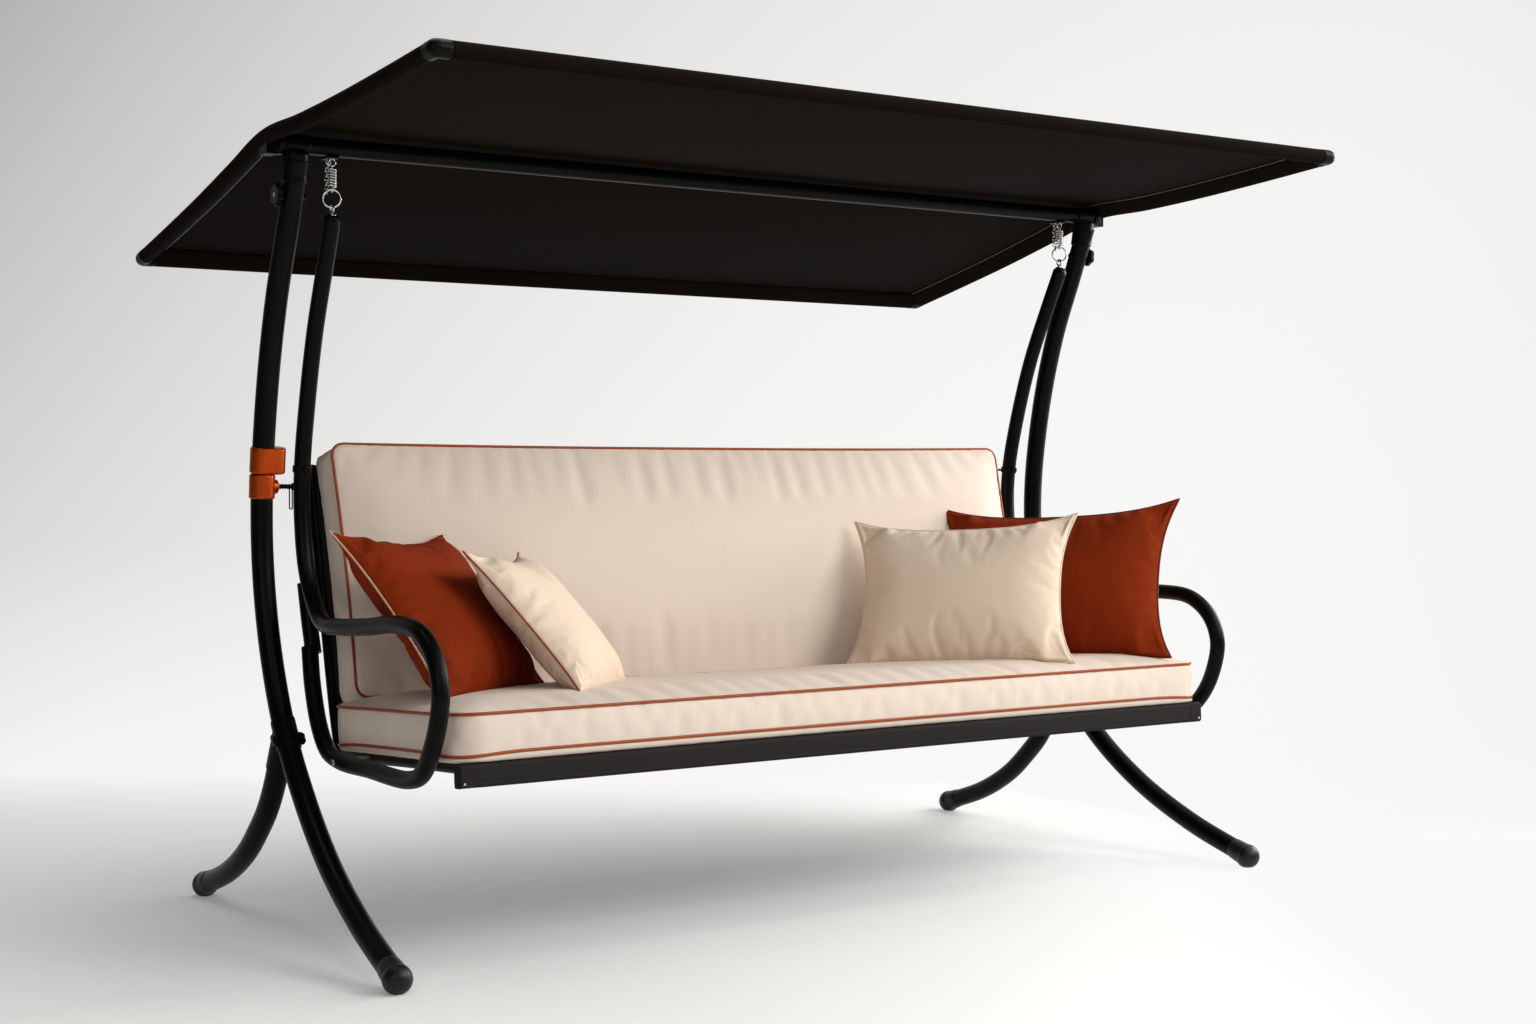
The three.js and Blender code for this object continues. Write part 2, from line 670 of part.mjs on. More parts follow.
// A cap on the crossbar's end that turns on it and carries the rail in a saddle
function canopyBracket(side, label) {
  const capFrom = crossbarReach + touchGap - hubWidth;
  const capTo = canopyPlane - canopyTube / 2 - touchGap;
  const centre = (x) => v(side * x, 0, crossbarHeight);
  const cap = bar(centre(capFrom), centre(capTo), crossbarTube + 2 * hubWall, roundSides);
  const turnable = crossbarTube / Math.cos(Math.PI / roundSides) + 2 * touchGap; // flats clear the beam's corners
  const bore = bar(centre(capFrom - overrun), centre(crossbarReach + touchGap), turnable,
    roundSides);
  const saddleFrom = capTo - touchGap - 2 * sink;
  const saddleTo = canopyPlane + canopyTube / 4;
  const saddle = block(saddleTo - saddleFrom, saddleLength, saddleDrop,
    v(side * (saddleFrom + saddleTo) / 2, ridgeBack, ridgeHeight - canopyTube / 4 - saddleDrop / 2));
  const fatRail = bentTube(canopyLine(side * canopyPlane), canopyTube + 2 * touchGap);
  add(part, `${label}_canopy_bracket`, cut(join(cap, saddle), bore, fatRail), black);
}

// Points at a distance above the canopy's profile, from the rear hem over the ridge to the front hem
function canopyOffset(distance, wraps) {
  const line = canopyLine(0);
  const points = [];
  const wrapSteps = 8;
  const count = line.stations.length;
  const normalAt = (i) => {
    const along = line.smooth.getTangentAt(line.stations[i]);
    return [along.z, -along.y];
  };
  const hem = (i, way) => {
    const centre = line.smooth.getPointAt(line.stations[i]);
    const [ny, nz] = normalAt(i);
    const start = Math.atan2(nz, ny);
    const turn = wraps * Math.PI / wrapSteps;
    const radius = distance / Math.cos(turn / 2);
    const list = [];
    for (let k = 0; k <= wrapSteps; k++) {
      const angle = start + way * turn * k;
      list.push([centre.y + radius * Math.cos(angle), centre.z + radius * Math.sin(angle)]);
    }
    return list;
  };
  if (wraps) points.push(...hem(0, -1).toReversed());
  const ends = wraps ? 1 : 0;
  for (let i = ends; i < count - ends; i++) {
    const p = line.smooth.getPointAt(line.stations[i]);
    const [ny, nz] = normalAt(i);
    points.push([p.y + distance * ny, p.z + distance * nz]);
  }
  if (wraps) points.push(...hem(count - 1, 1));
  return points;
}

function canopyCloth() {
  const inner = canopyTube / 2 + touchGap;
  const outer = inner + clothThickness;
  const width = 2 * (canopyPlane + canopyTube / 2 + touchGap);
  const under = canopyOffset(inner, hemWrapShare);
  const over = canopyOffset(outer, hemWrapShare);
  const sheet = extrudedAlongX([...under, ...over.toReversed()], width + 2 * clothThickness);
  const skirtLow = canopyOffset(-inner, 0);
  const skirtHigh = canopyOffset(outer - clothThickness / 2, 0);
  const skirts = Object.values(sides).map((side) => extrudedAlongX(
    [...skirtLow, ...skirtHigh.toReversed()], clothThickness, side * (width + clothThickness) / 2));
  const frame = Object.values(sides).map((side) => bentTube(canopyLine(side * canopyPlane),
    canopyTube + 2 * touchGap));
  add(part, "canopy_fabric", cut(join(sheet, ...skirts), ...frame), cloth);
}

// Spring: top loop, curls and bottom loop in one wire
function springPoints() {
  const points = [];
  const coilRadius = (springCoil - springWire) / 2;
  const loopSteps = 6;
  const topLoop = springTop - hookLoop;
  for (let i = 0; i <= loopSteps; i++) {
    const angle = mix(-topHookShare * Math.PI, Math.PI / 2, i / loopSteps);
    points.push(v(0, hookLoop * Math.sin(angle), topLoop + hookLoop * Math.cos(angle)));
  }
  const coilTop = springTop - 2 * hookLoop;
  const coilFoot = coilTop - coilLength;
  const turns = springCurls * stepsPerCurl;
  for (let i = 0; i <= turns; i++) {
    const angle = Math.PI / 2 + 2 * Math.PI * i / stepsPerCurl;
    points.push(v(coilRadius * Math.cos(angle), coilRadius * Math.sin(angle), mix(coilTop, coilFoot, i / turns)));
  }
  const footLoop = springFoot + hookLoop;
  for (let i = 0; i <= loopSteps; i++) {
    const angle = mix(0, footHookShare * Math.PI, i / loopSteps);
    points.push(v(0, hookLoop * Math.cos(angle), footLoop - hookLoop * Math.sin(angle)));
  }
  return points;
}

// The least gap between two stretches of one wire that aren't next to each other
function leastGap(points, diameter) {
  const dense = new THREE.CatmullRomCurve3(points).getSpacedPoints(points.length * 6);
  const step = dense[0].distanceTo(dense[1]);
  const apart = Math.ceil(diameter * Math.PI / step);
  let least = Infinity;
  for (let i = 0; i < dense.length; i++) {
    for (let j = i + apart; j < dense.length; j++) {
      least = Math.min(least, dense[i].distanceTo(dense[j]) - diameter);
    }
  }
  return least;
}

function suspension(side, label) {
  const points = springPoints();
  if (side < 0) console.log("suspension spring, least gap to itself", leastGap(points, springWire).toFixed(2));
  const spring = add(part, `${label}_spring`, wire(points, springWire), chrome, v(side * hangPlane, 0, 0));
  spring.rotation.z = radians(-ringTurn / 2);

  const ring = new THREE.TorusGeometry(ringRadius, ringWire / 2, wireSides, ringSteps);
  ring.rotateX(Math.PI / 2);
  const hung = add(part, `${label}_ring`, ring, chrome, v(side * hangPlane, 0, ringCentre));
  hung.rotation.z = radians(-ringTurn);
  add(part, `${label}_chain`, safetyChain(), chrome, v(side * hangPlane, 0, 0));
}

// Oval links, each turned a quarter from the last, from the chain's eye down to the ring
function safetyChain() {
  const eyeFoot = hookPlateTop - hookPlateWall + chainEyeWire / 4 - 2 * chainEyeRadius;
  const from = v(0, chainEyeBack, eyeFoot + chainEyeWire / 2 + linkWire / 2 + 2 * touchGap);
  const round = radians(chainFootTurn);
  const drop = (ringWire + linkWire) / 2 / Math.cos(round) + linkWire / 2 * Math.tan(round) + 2 * touchGap;
  const to = v(-ringRadius * Math.sin(round), 0, ringCentre + ringRadius * Math.cos(round));
  to.applyAxisAngle(Z, radians(-ringTurn));
  const lastWay = to.clone().sub(from).addScaledVector(Y, -4 * chainBow).normalize();
  to.addScaledVector(lastWay, drop);
  const hang = (share) => {
    const place = from.clone().lerp(to, share);
    place.y += chainBow * 4 * share * (1 - share);
    return place;
  };
  const inner = (linkWidth - linkWire) / 2;
  const links = [];
  for (let i = 0; i < linkCount; i++) {
    const top = hang(i / linkCount);
    const foot = hang((i + 1) / linkCount);
    const along = top.clone().sub(foot);
    const grip = linkWire / 2 - linkSink;
    const above = i ? grip : 0;
    const below = i < linkCount - 1 ? grip : 0;
    const straight = (along.length() + above + below) / 2 - inner;
    const oval = [];
    for (let k = 0; k < linkSteps; k++) {
      const angle = 2 * Math.PI * (k + halfShare) / linkSteps;
      const lift = Math.sin(angle) > 0 ? straight : -straight;
      oval.push(v(inner * Math.cos(angle), 0, inner * Math.sin(angle) + lift));
    }
    const link = wire(oval, linkWire, true);
    const quarter = i % 2 ? 0 : Math.PI / 2;
    link.translate(0, 0, (above - below) / 2);
    link.rotateZ(quarter - radians(ringTurn) * i / (linkCount - 1));
    link.applyQuaternion(new THREE.Quaternion().setFromUnitVectors(Z, along.normalize()));
    const centre = top.add(foot).multiplyScalar(halfShare);
    links.push(link.translate(centre.x, centre.y, centre.z));
  }
  return join(...links);
}

// Arm hangers
function hangerPoints(side) {
  const upper = hangerShares.map(([y, z]) => v(side * mix(hangerPlane, hangPlane, z * z), y * hangerBow,
    mix(armHeight, hangerTop, z)));
  const loop = armShares.map(([y, z, x]) => v(side * mix(hangerPlane, armPlane, x), -y * armReach,
    mix(lowerRun, armHeight, z)));
  return [...upper, ...loop];
}

function armHanger(side, label) {
  const points = hangerPoints(side);
  const main = bentTube(new BentLine(points), hangerTube);
  const end = uprightShares.map(([y, z]) => v(side * hangerPlane, -y * armReach, mix(lowerRun, armHeight, z)));
  const upright = bentTube(new BentLine(end), uprightTube);
  const hole = bar(v(side * (railPlane - railTube), -seatBoltBack, lowerRun),
    v(side * (armPlane + hangerTube), -seatBoltBack, lowerRun), seatBolt + 2 * boltPlay, barSides);
  add(part, `${label}_arm_hanger`, cut(join(main, upright), hole), black);

  const eye = new THREE.TorusGeometry(hangerEyeRadius, hangerEyeWire / 2, wireSides, eyeSteps);
  eye.rotateY(Math.PI / 2);
  const eyeMiddle = rockAxis + ringWire / 2 + hangerEyeWire / 2 + touchGap - hangerEyeRadius;
  eye.translate(0, 0, eyeMiddle);
  const capFoot = hangerTop + touchGap;
  const shank = bar(v(0, 0, capFoot + capHeight / 2), v(0, 0, eyeMiddle - hangerEyeRadius), hangerEyeWire * eyeShankShare,
    barSides);
  const cap = turned([[0, 0], [hangerTube / 2, 0], [hangerTube / 2, capHeight / 3], [capTaper / 2, capHeight],
    [0, capHeight]]);
  const start = points[0].clone().sub(points[1]).normalize();
  cap.applyQuaternion(new THREE.Quaternion().setFromUnitVectors(Z, start));
  cap.translate(start.x * touchGap, start.y * touchGap, hangerTop + start.z * touchGap);
  add(part, `${label}_hanger_eye`, join(eye, shank, cap), chrome, v(side * hangPlane, 0, 0));
}

// Seat deck and back, each in its own group
const deck = new THREE.Group();
deck.position.set(0, -deckFront, deckHeight);
deck.rotation.x = radians(-deckPitch);
deck.updateMatrix();
part.add(deck);

const lean = radians(backLean);
const backRear = backFootForward + backThickness * Math.cos(lean);
const back = new THREE.Group();
back.position.set(0, backRear, backFoot - backThickness * Math.sin(lean));
back.rotation.x = -lean;
back.updateMatrix();
part.add(back);

const onDeck = (x, y, z) => v(x, y, z).applyMatrix4(deck.matrix);
const onBack = (x, y, z) => v(x, y, z).applyMatrix4(back.matrix);

// The two large cushions: rounded corners, piping beads, drawn-in sides and a crown
function outlineRing(halfWidth, halfDepth, inset, height) {
  const a = halfWidth - inset;
  const b = halfDepth - inset;
  const radius = Math.max(cornerRadius - inset, Math.min(b, leastCorner));
  const corner = Math.min(radius, b);
  const ring = [];
  const perCorner = 4;
  const perLong = 6;
  const perShort = 3;
  const centres = [[a - corner, b - corner], [-a + corner, b - corner], [-a + corner, -b + corner],
    [a - corner, -b + corner]];
  for (let q = 0; q < 4; q++) {
    for (let k = 0; k <= perCorner; k++) {
      const angle = (q + k / perCorner) * Math.PI / 2;
      ring.push([centres[q][0] + corner * Math.cos(angle), centres[q][1] + corner * Math.sin(angle)]);
    }
    const next = centres[(q + 1) % 4];
    const count = q % 2 ? perShort : perLong;
    const angle = (q + 1) * Math.PI / 2;
    const from = ring.at(-1);
    const to = [next[0] + corner * Math.cos(angle), next[1] + corner * Math.sin(angle)];
    for (let k = 1; k < count; k++) {
      ring.push([mix(from[0], to[0], k / count), mix(from[1], to[1], k / count)]);
    }
  }
  return ring.map(([x, y]) => {
    const inX = drawIn * (1 - (y / halfDepth) ** 2) * Math.abs(x / halfWidth) ** 6;
    const inY = drawIn * (1 - (x / halfWidth) ** 2) * Math.abs(y / halfDepth) ** 6;
    return v(x - Math.sign(x) * inX, y - Math.sign(y) * inY, height);
  });
}

function crownAt(share, crown) {
  return (crown + edgeRound / 4) * (1 - (1 - share) ** crownPower);
}

function boxCushion(halfWidth, halfDepth, thickness, crown) {
  const low = edgeRound / 2;
  const high = thickness - edgeRound / 2;
  const bead = (z) => [[0, z - pipeInset / 2], [-pipeRadius / 2, z], [0, z + pipeInset / 2]];
  const steps = [
    [halfDepth * flatShare, 0], [edgeRound, 0], [edgeRound / 3, low / 4], ...bead(low),
    [sidePull, thickness / 2], ...bead(high),
    ...crownShares.map((share) => [share * halfDepth, high + pipeInset / 2 + crownAt(share, crown)]),
  ];
  const rings = steps.map(([inset, z]) => outlineRing(halfWidth, halfDepth, inset, z));
  const count = rings[0].length;
  const positions = rings.flat().flatMap((p) => [p.x, p.y, p.z]);
  const index = [];
  for (let i = 0; i < rings.length - 1; i++) {
    for (let j = 0; j < count; j++) {
      const a = i * count + j;
      const b = i * count + (j + 1) % count;
      index.push(a, b, a + count, b, b + count, a + count);
    }
  }
  const fan = (ring, up) => {
    const z = rings[ring][0].z;
    const middle = positions.length / 3;
    positions.push(0, 0, z);
    for (let j = 0; j < count; j++) {
      const a = ring * count + j;
      const b = ring * count + (j + 1) % count;
      if (up) index.push(middle, a, b);
      else index.push(middle, b, a);
    }
  };
  fan(0, false);
  fan(rings.length - 1, true);
  const geometry = new THREE.BufferGeometry();
  geometry.setAttribute("position", new THREE.Float32BufferAttribute(positions, 3));
  geometry.setIndex(index);
  return geometry;
}

function roundedRect(width, height, radius) {
  const points = [];
  const perCorner = 3;
  const a = width / 2 - radius;
  const b = height / 2 - radius;
  const centres = [[a, b], [-a, b], [-a, -b], [a, -b]];
  centres.forEach(([x, y], q) => {
    for (let k = 0; k <= perCorner; k++) {
      const angle = (q + k / perCorner) * Math.PI / 2;
      points.push([x + radius * Math.cos(angle), y + radius * Math.sin(angle)]);
    }
  });
  return points;
}

const frontRailAt = frontRailDepth / 2 + slingThickness + touchGap; // behind the deck's front
const frontRailDrop = frontRailHeight / 2 + slingThickness + touchGap;
const railFlat = railTube / 2 * Math.cos(Math.PI / barSides); // from a rail's axis to its flat sides
const railDrop = slingThickness + touchGap + railFlat;
const railBack = slingThickness + touchGap + railFlat; // back rail's axis behind the back's rear plane
const railCorner = cornerBetween(
  onDeck(0, 0, -railDrop), onDeck(0, seatDepth, -railDrop), onBack(0, railBack, 0), onBack(0, railBack, backHeight));
const rearRailAt = onDeck(0, 0, -railDrop).distanceTo(railCorner) - bendRadius;

function seatDeck() {
  const shift = (points, y, z) => points.map(([a, b]) => [a + y, b + z]);
  const railOutline = shift(roundedRect(frontRailDepth, frontRailHeight, frontRailCorner),
    frontRailAt, -frontRailDrop);
  const railLength = 2 * frontRailHalf;
  const inside = shift(roundedRect(frontRailDepth - 2 * frontRailWall, frontRailHeight - 2 * frontRailWall,
    frontRailCorner - frontRailWall), frontRailAt, -frontRailDrop);
  add(deck, "seat_front_rail", cut(extrudedAlongX(railOutline, railLength),
    extrudedAlongX(inside, railLength + 2 * overrun)), black);
  const grown = 2 * (slingThickness + touchGap);
  const sleeveOutline = shift(roundedRect(frontRailDepth + grown, frontRailHeight + grown,
    frontRailCorner + grown / 2), frontRailAt, -frontRailDrop);
  const hollow = shift(roundedRect(frontRailDepth + 2 * touchGap, frontRailHeight + 2 * touchGap,
    frontRailCorner + touchGap), frontRailAt, -frontRailDrop);
  const tubeSleeve = extrudedAlongX(sleeveOutline, railLength + 2 * slingThickness);
  const bore = extrudedAlongX(hollow, railLength + 2 * slingThickness + 2 * overrun);
  const sheetFrom = frontRailAt;
  const sheetTo = rearRailAt - railTube / 4;
  const sheet = block(2 * railPlane, sheetTo - sheetFrom, slingThickness,
    v(0, (sheetFrom + sheetTo) / 2, -slingThickness / 2));
  add(deck, "seat_sling", cut(join(tubeSleeve, sheet), bore), sleeve);
  const rearHalf = railPlane - railFlat - touchGap;
  const rearRail = bar(v(-rearHalf, rearRailAt, -railDrop), v(rearHalf, rearRailAt, -railDrop), railTube, barSides);
  add(deck, "seat_rear_rail", rearRail, black);

  const cushion = boxCushion(cushionHalf, seatDepth / 2, seatThickness, seatCrown);
  return add(deck, "seat_cushion", cushion, cream, v(0, seatDepth / 2, touchGap));
}

// L-shaped side rail: along the deck, round a bend and up the back
function sideRailPoints(side) {
  const x = side * railPlane;
  const frontEnd = frontRailAt + frontRailDepth / 2 + slingThickness + 2 * touchGap;
  const deckLine = [onDeck(x, frontEnd, -railDrop), onDeck(x, seatDepth * railMidShare, -railDrop)];
  const up = (z) => onBack(x, railBack, z);
  const corner = railCorner.clone().setX(x);
  const along = deckLine[1].clone().sub(deckLine[0]).normalize();
  const rise = up(backHeight).sub(up(0)).normalize();
  const [near, far] = bendShares.map((share) => share * bendRadius);
  const bend = [
    corner.clone().addScaledVector(along, -bendRadius),
    corner.clone().addScaledVector(along, -far).addScaledVector(rise, near),
    corner.clone().addScaledVector(along, -near).addScaledVector(rise, far),
    corner.clone().addScaledVector(rise, bendRadius),
  ];
  const top = up(backHeight - topRailDrop);
  return [...deckLine, ...bend, bend[3].clone().lerp(top, halfShare), top];
}

// Where two lines of one plane across X meet
function cornerBetween(a0, a1, b0, b1) {
  const a = a1.clone().sub(a0);
  const b = b1.clone().sub(b0);
  const share = ((b0.y - a0.y) * b.z - (b0.z - a0.z) * b.y) / (a.y * b.z - a.z * b.y);
  return a0.clone().addScaledVector(a, share);
}

function sideRail(side, label) {
  const line = new BentLine(sideRailPoints(side));
  const hole = bar(v(side * (railPlane - railTube), -seatBoltBack, lowerRun),
    v(side * (railPlane + railTube), -seatBoltBack, lowerRun), seatBolt + 2 * boltPlay, barSides);
  add(part, `${label}_seat_rail`, cut(bentTube(line, railTube, barSides), hole), black);

  const hangerX = atRun(side, -seatBoltBack);
  const outside = hangerX + hangerTube / 2;
  const spacerFrom = railPlane + railFlat + touchGap;
  const spacerTo = hangerX - hangerTube / 2 - touchGap;
  const at = (x) => v(side * x, -seatBoltBack, lowerRun);
  const inEnd = railPlane - railFlat - touchGap;
  const shank = bar(at(inEnd - boltHeadHeight), at(outside + touchGap + sink), seatBolt, barSides);
  const head = bar(at(outside + touchGap), at(outside + touchGap + boltHeadHeight), boltHead, 6);
  const nut = bar(at(inEnd), at(inEnd - boltHeadHeight), boltHead, 6);
  const spacer = bar(at(spacerFrom), at(spacerTo), spacerTube, barSides);
  add(part, `${label}_seat_bolt`, join(shank, head, nut, spacer), chrome);
}

// Distance from the middle to the hanger's lower run at a place along the seat
function atRun(side, y) {
  const smooth = new THREE.CatmullRomCurve3(hangerPoints(side), false, "centripetal");
  const samples = 2000;
  let best = null;
  for (let i = 0; i <= samples; i++) {
    const p = smooth.getPointAt(i / samples);
    const off = Math.abs(p.y - y) + Math.abs(p.z - lowerRun);
    if (!best || off < best.off) best = { off, x: Math.abs(p.x) };
  }
  return best.x;
}

function backFrame() {
  const topAt = backHeight - topRailDrop;
  const topHalf = railPlane - railFlat - touchGap;
  const topRail = bar(v(-topHalf, railBack, topAt - railTube / 2), v(topHalf, railBack, topAt - railTube / 2),
    railTube, barSides);
  add(back, "back_top_rail", topRail, black);
  const sling = block(2 * railPlane, slingThickness, topAt, v(0, slingThickness / 2 + touchGap / 2, topAt / 2));
  add(back, "back_sling", sling, sleeve);
  const cushion = boxCushion(backHalf, backHeight / 2, backThickness, backCrown);
  cushion.rotateX(Math.PI / 2);
  add(back, "back_cushion", cushion, cream, v(0, -touchGap, backHeight / 2));
}

// A thin stay from a clamp on the hanger to the back of the side rail
function backStay(side, label) {
  const hanger = atHeight(new BentLine(hangerPoints(side)), stayHeight);
  const rail = atHeight(new BentLine(sideRailPoints(side)), stayHeight);
  const up = hanger.along.clone().multiplyScalar(stayClampWidth / 2);
  const ring = bar(hanger.point.clone().sub(up), hanger.point.clone().add(up),
    hangerTube + 2 * stayClampWall, roundSides);
  const bore = bentTube(new BentLine(hangerPoints(side)), hangerTube + 2 * touchGap);
  const toward = rail.point.clone().sub(hanger.point);
  toward.z = 0;
  const reach = toward.length();
  toward.normalize();
  const rodFrom = hanger.point.clone().addScaledVector(toward, hangerTube / 2 + touchGap);
  const rodTo = hanger.point.clone().addScaledVector(toward, reach - railTube / 2 - touchGap);
  const rod = bar(rodFrom, rodTo, stayRod, barSides);
  const footFrom = rodTo.clone().addScaledVector(toward, -stayFoot / 2);
  const foot = bar(footFrom, rodTo, stayFoot, barSides);
  const fatRail = bentTube(new BentLine(sideRailPoints(side)), railTube + 2 * touchGap, barSides);
  const front = hanger.point.clone().addScaledVector(Y, -hangerTube / 2 - touchGap);
  const knob = bar(front, front.clone().addScaledVector(Y, -stayKnob * stayKnobShare), stayKnob, barSides);
  add(part, `${label}_back_stay`, cut(join(ring, knob, rod, foot), bore, fatRail), black);
}

// Pillow: two crowned faces sewn along one edge that pulls in between four ears
function pillowGeometry({ width, height, thick }) {
  const n = pillowCells;
  const positions = [];
  const index = [];
  const place = (i, j, face) => {
    const a = -1 + 2 * i / n;
    const b = -1 + 2 * j / n;
    const x = width / 2 * a * (1 - pillowDrawShare * (1 - b * b));
    const z = height / 2 * b * (1 - (b < 0 ? restDrawShare : pillowDrawShare) * (1 - a * a));
    const swell = Math.sqrt(Math.max(0, (1 - a ** 4) * (1 - b ** 4))) * (1 - flattenShare * (a * a + b * b) / 2);
    return [x, face * thick / 2 * swell, z];
  };
  for (const face of [-1, 1]) {
    const base = positions.length / 3;
    for (let i = 0; i <= n; i++) {
      for (let j = 0; j <= n; j++) positions.push(...place(i, j, face));
    }
    for (let i = 0; i < n; i++) {
      for (let j = 0; j < n; j++) {
        const a = base + i * (n + 1) + j;
        const b = a + n + 1;
        if (face < 0) index.push(a, b, b + 1, a, b + 1, a + 1);
        else index.push(a, b + 1, b, a, a + 1, b + 1);
      }
    }
  }
  const geometry = new THREE.BufferGeometry();
  geometry.setAttribute("position", new THREE.Float32BufferAttribute(positions, 3));
  geometry.setIndex(index);
  return mergeVertices(geometry, weldGap);
}

// The least height between a mesh and one below it, over the corners of both
function heightBetween(upper, lower) {
  const caster = new THREE.Raycaster();
  const high = new THREE.Vector3(0, 0, crossbarHeight);
  let least = Infinity;
  for (const [from, onto, way] of [[upper, lower, -1], [lower, upper, 1]]) {
    onto.material.side = THREE.DoubleSide;
    const places = from.geometry.attributes.position;
    for (let i = 0; i < places.count; i++) {
      const start = v(0, 0, 0).fromBufferAttribute(places, i).applyMatrix4(from.matrixWorld);
      caster.set(start.clone().addScaledVector(high, -way), Z.clone().multiplyScalar(way));
      const heights = caster.intersectObject(onto).map((hit) => hit.point.z);
      if (way < 0 && heights.length) least = Math.min(least, start.z - Math.max(...heights));
      if (way > 0 && heights.length) least = Math.min(least, Math.min(...heights) - start.z);
    }
    onto.material.side = THREE.FrontSide;
  }
  return least;
}

// Puts a pillow down on the seat cushion, at its own turn and lean to the deck
function pillow(name, spec, material, seat) {
  const at = v(...spec.at).applyMatrix4(deck.matrix.clone().invert());
  const mesh = add(deck, name, pillowGeometry(spec), material, at);
  mesh.rotation.set(radians(-spec.lean), 0, radians(spec.turn), "ZXY");
  mesh.updateWorldMatrix(true, false);
  seat.updateWorldMatrix(true, false);
  mesh.position.z += 2 * touchGap - heightBetween(mesh, seat);
}

// Brake: copper collar and clamp round the left post, with a sprung plunger towards the hanger
function brake() {
  const side = sides.left;
  const line = intoFoot(postPoints(side));
  const axis = atHeight(line, brakeHeight).point;
  const fatPost = bentTube(line, postTube + 2 * touchGap);
  const collarMid = atHeight(line, collarFoot + collarHeight / 2).point;
  const tilt = atHeight(line, collarFoot + collarHeight / 2).along.negate();
  const radius = postTube / 2 + collarWall;
  const steps = 8;
  const outline = [];
  for (let i = 0; i <= steps; i++) {
    const angle = -Math.PI / 2 + Math.PI * i / steps;
    outline.push([collarBulge + (radius - collarEdge) * Math.cos(angle), (radius - collarEdge) * Math.sin(angle)]);
  }
  for (let i = 0; i <= steps; i++) {
    const angle = Math.PI / 2 + Math.PI * i / steps;
    outline.push([(radius - collarEdge) * Math.cos(angle), (radius - collarEdge) * Math.sin(angle)]);
  }
  const shape = new THREE.Shape(outline.map(([x, y]) => new THREE.Vector2(x, y)));
  const collar = new THREE.ExtrudeGeometry(shape, {
    depth: collarHeight - 2 * collarEdge, bevelSize: collarEdge, bevelThickness: collarEdge, bevelSegments: 2,
  });
  collar.translate(0, 0, -collarHeight / 2 + collarEdge);
  collar.applyQuaternion(new THREE.Quaternion().setFromUnitVectors(Z, tilt));
  collar.translate(collarMid.x, collarMid.y, collarMid.z);
  add(part, "brake_collar", cut(collar, fatPost), copper);

  // The clamp: a band round the post with a boss that ends in the spring's seat
  const upper = atHeight(line, collarFoot - clampGap).point;
  const lower = atHeight(line, collarFoot - clampGap - clampHeight).point;
  const band = bar(upper, lower, postTube + 2 * collarWall, roundSides);
  const on = (x) => axis.clone().add(v(x, 0, 0));
  const boss = bar(axis, on(bossReach), bossTube, roundSides);
  const seatEnd = bossReach + springSeatWidth;
  const springSeat = bar(on(bossReach - sink), on(seatEnd), flangeTube, roundSides);
  const bore = bar(on(postTube / 2 - overrun), on(seatEnd + overrun), plungerRod + 2 * boltPlay, barSides);
  add(part, "brake_clamp", cut(join(band, boss, springSeat), fatPost, bore), copper);

  // The plunger: rod, shoulder for the spring, cross hole for the pull loop and a pad at the hanger
  const hanger = atHeight(new BentLine(hangerPoints(side)), brakeHeight).point;
  const padEnd = hanger.x - hangerTube / 2 - touchGap - axis.x;
  const neck = loopWire + 2 * boltPlay + 2 * neckWall;
  const padStart = padEnd - padWidth;
  const shoulderEnd = padStart - neck;
  const shoulderStart = shoulderEnd - shoulderWidth;
  const along = (x) => v(x, 0, 0);
  const rodFrom = postTube / 2 + 2 * touchGap + plungerTravel; // short of the post when pulled
  const rod = bar(along(rodFrom), along(padEnd - sink), plungerRod, barSides);
  const shoulder = bar(along(shoulderStart), along(shoulderEnd), brakeCoil, roundSides);
  const pad = bar(along(padStart), along(padEnd), padTube, roundSides);
  const loopAt = padStart - neck / 2;
  const crossHole = bar(v(loopAt, -plungerRod, 0), v(loopAt, plungerRod, 0), loopWire + 2 * boltPlay, barSides);
  add(part, "brake_plunger", cut(join(rod, shoulder, pad), crossHole), black, axis);

  const coilFrom = seatEnd + touchGap + brakeWire / 2;
  const coilTo = shoulderStart - touchGap - brakeWire / 2;
  const coilRadius = (brakeCoil - brakeWire) / 2;
  const turns = brakeCurls * stepsPerCurl;
  const coil = [];
  for (let i = 0; i <= turns; i++) {
    const angle = 2 * Math.PI * i / stepsPerCurl;
    coil.push(v(mix(coilFrom, coilTo, i / turns), coilRadius * Math.cos(angle), coilRadius * Math.sin(angle)));
  }
  console.log("brake spring, least gap to itself", leastGap(coil, brakeWire).toFixed(2));
  add(part, "brake_spring", wire(coil, brakeWire), black, axis);

  // The pull loop: a long ring whose straight top runs through the plunger's cross hole
  const corner = loopWire;
  const across = loopWidth / 2 - loopWire / 2 - corner;
  const down = loopLength - loopWire - 2 * corner;
  const ring = [];
  const cornerSteps = 3;
  const centres = [[across, -corner], [-across, -corner], [-across, -corner - down], [across, -corner - down]];
  centres.forEach(([y, z], q) => {
    for (let k = 0; k <= cornerSteps; k++) {
      const angle = (q + k / cornerSteps) * Math.PI / 2;
      ring.push(v(0, y + corner * Math.cos(angle), z + corner * Math.sin(angle)));
    }
  });
  add(part, "brake_loop", wire(ring, loopWire, true), black, v(axis.x + loopAt, axis.y, axis.z));
  console.log("brake axis", axis.y.toFixed(2), axis.z, "loop at", (axis.x + loopAt).toFixed(2));
}

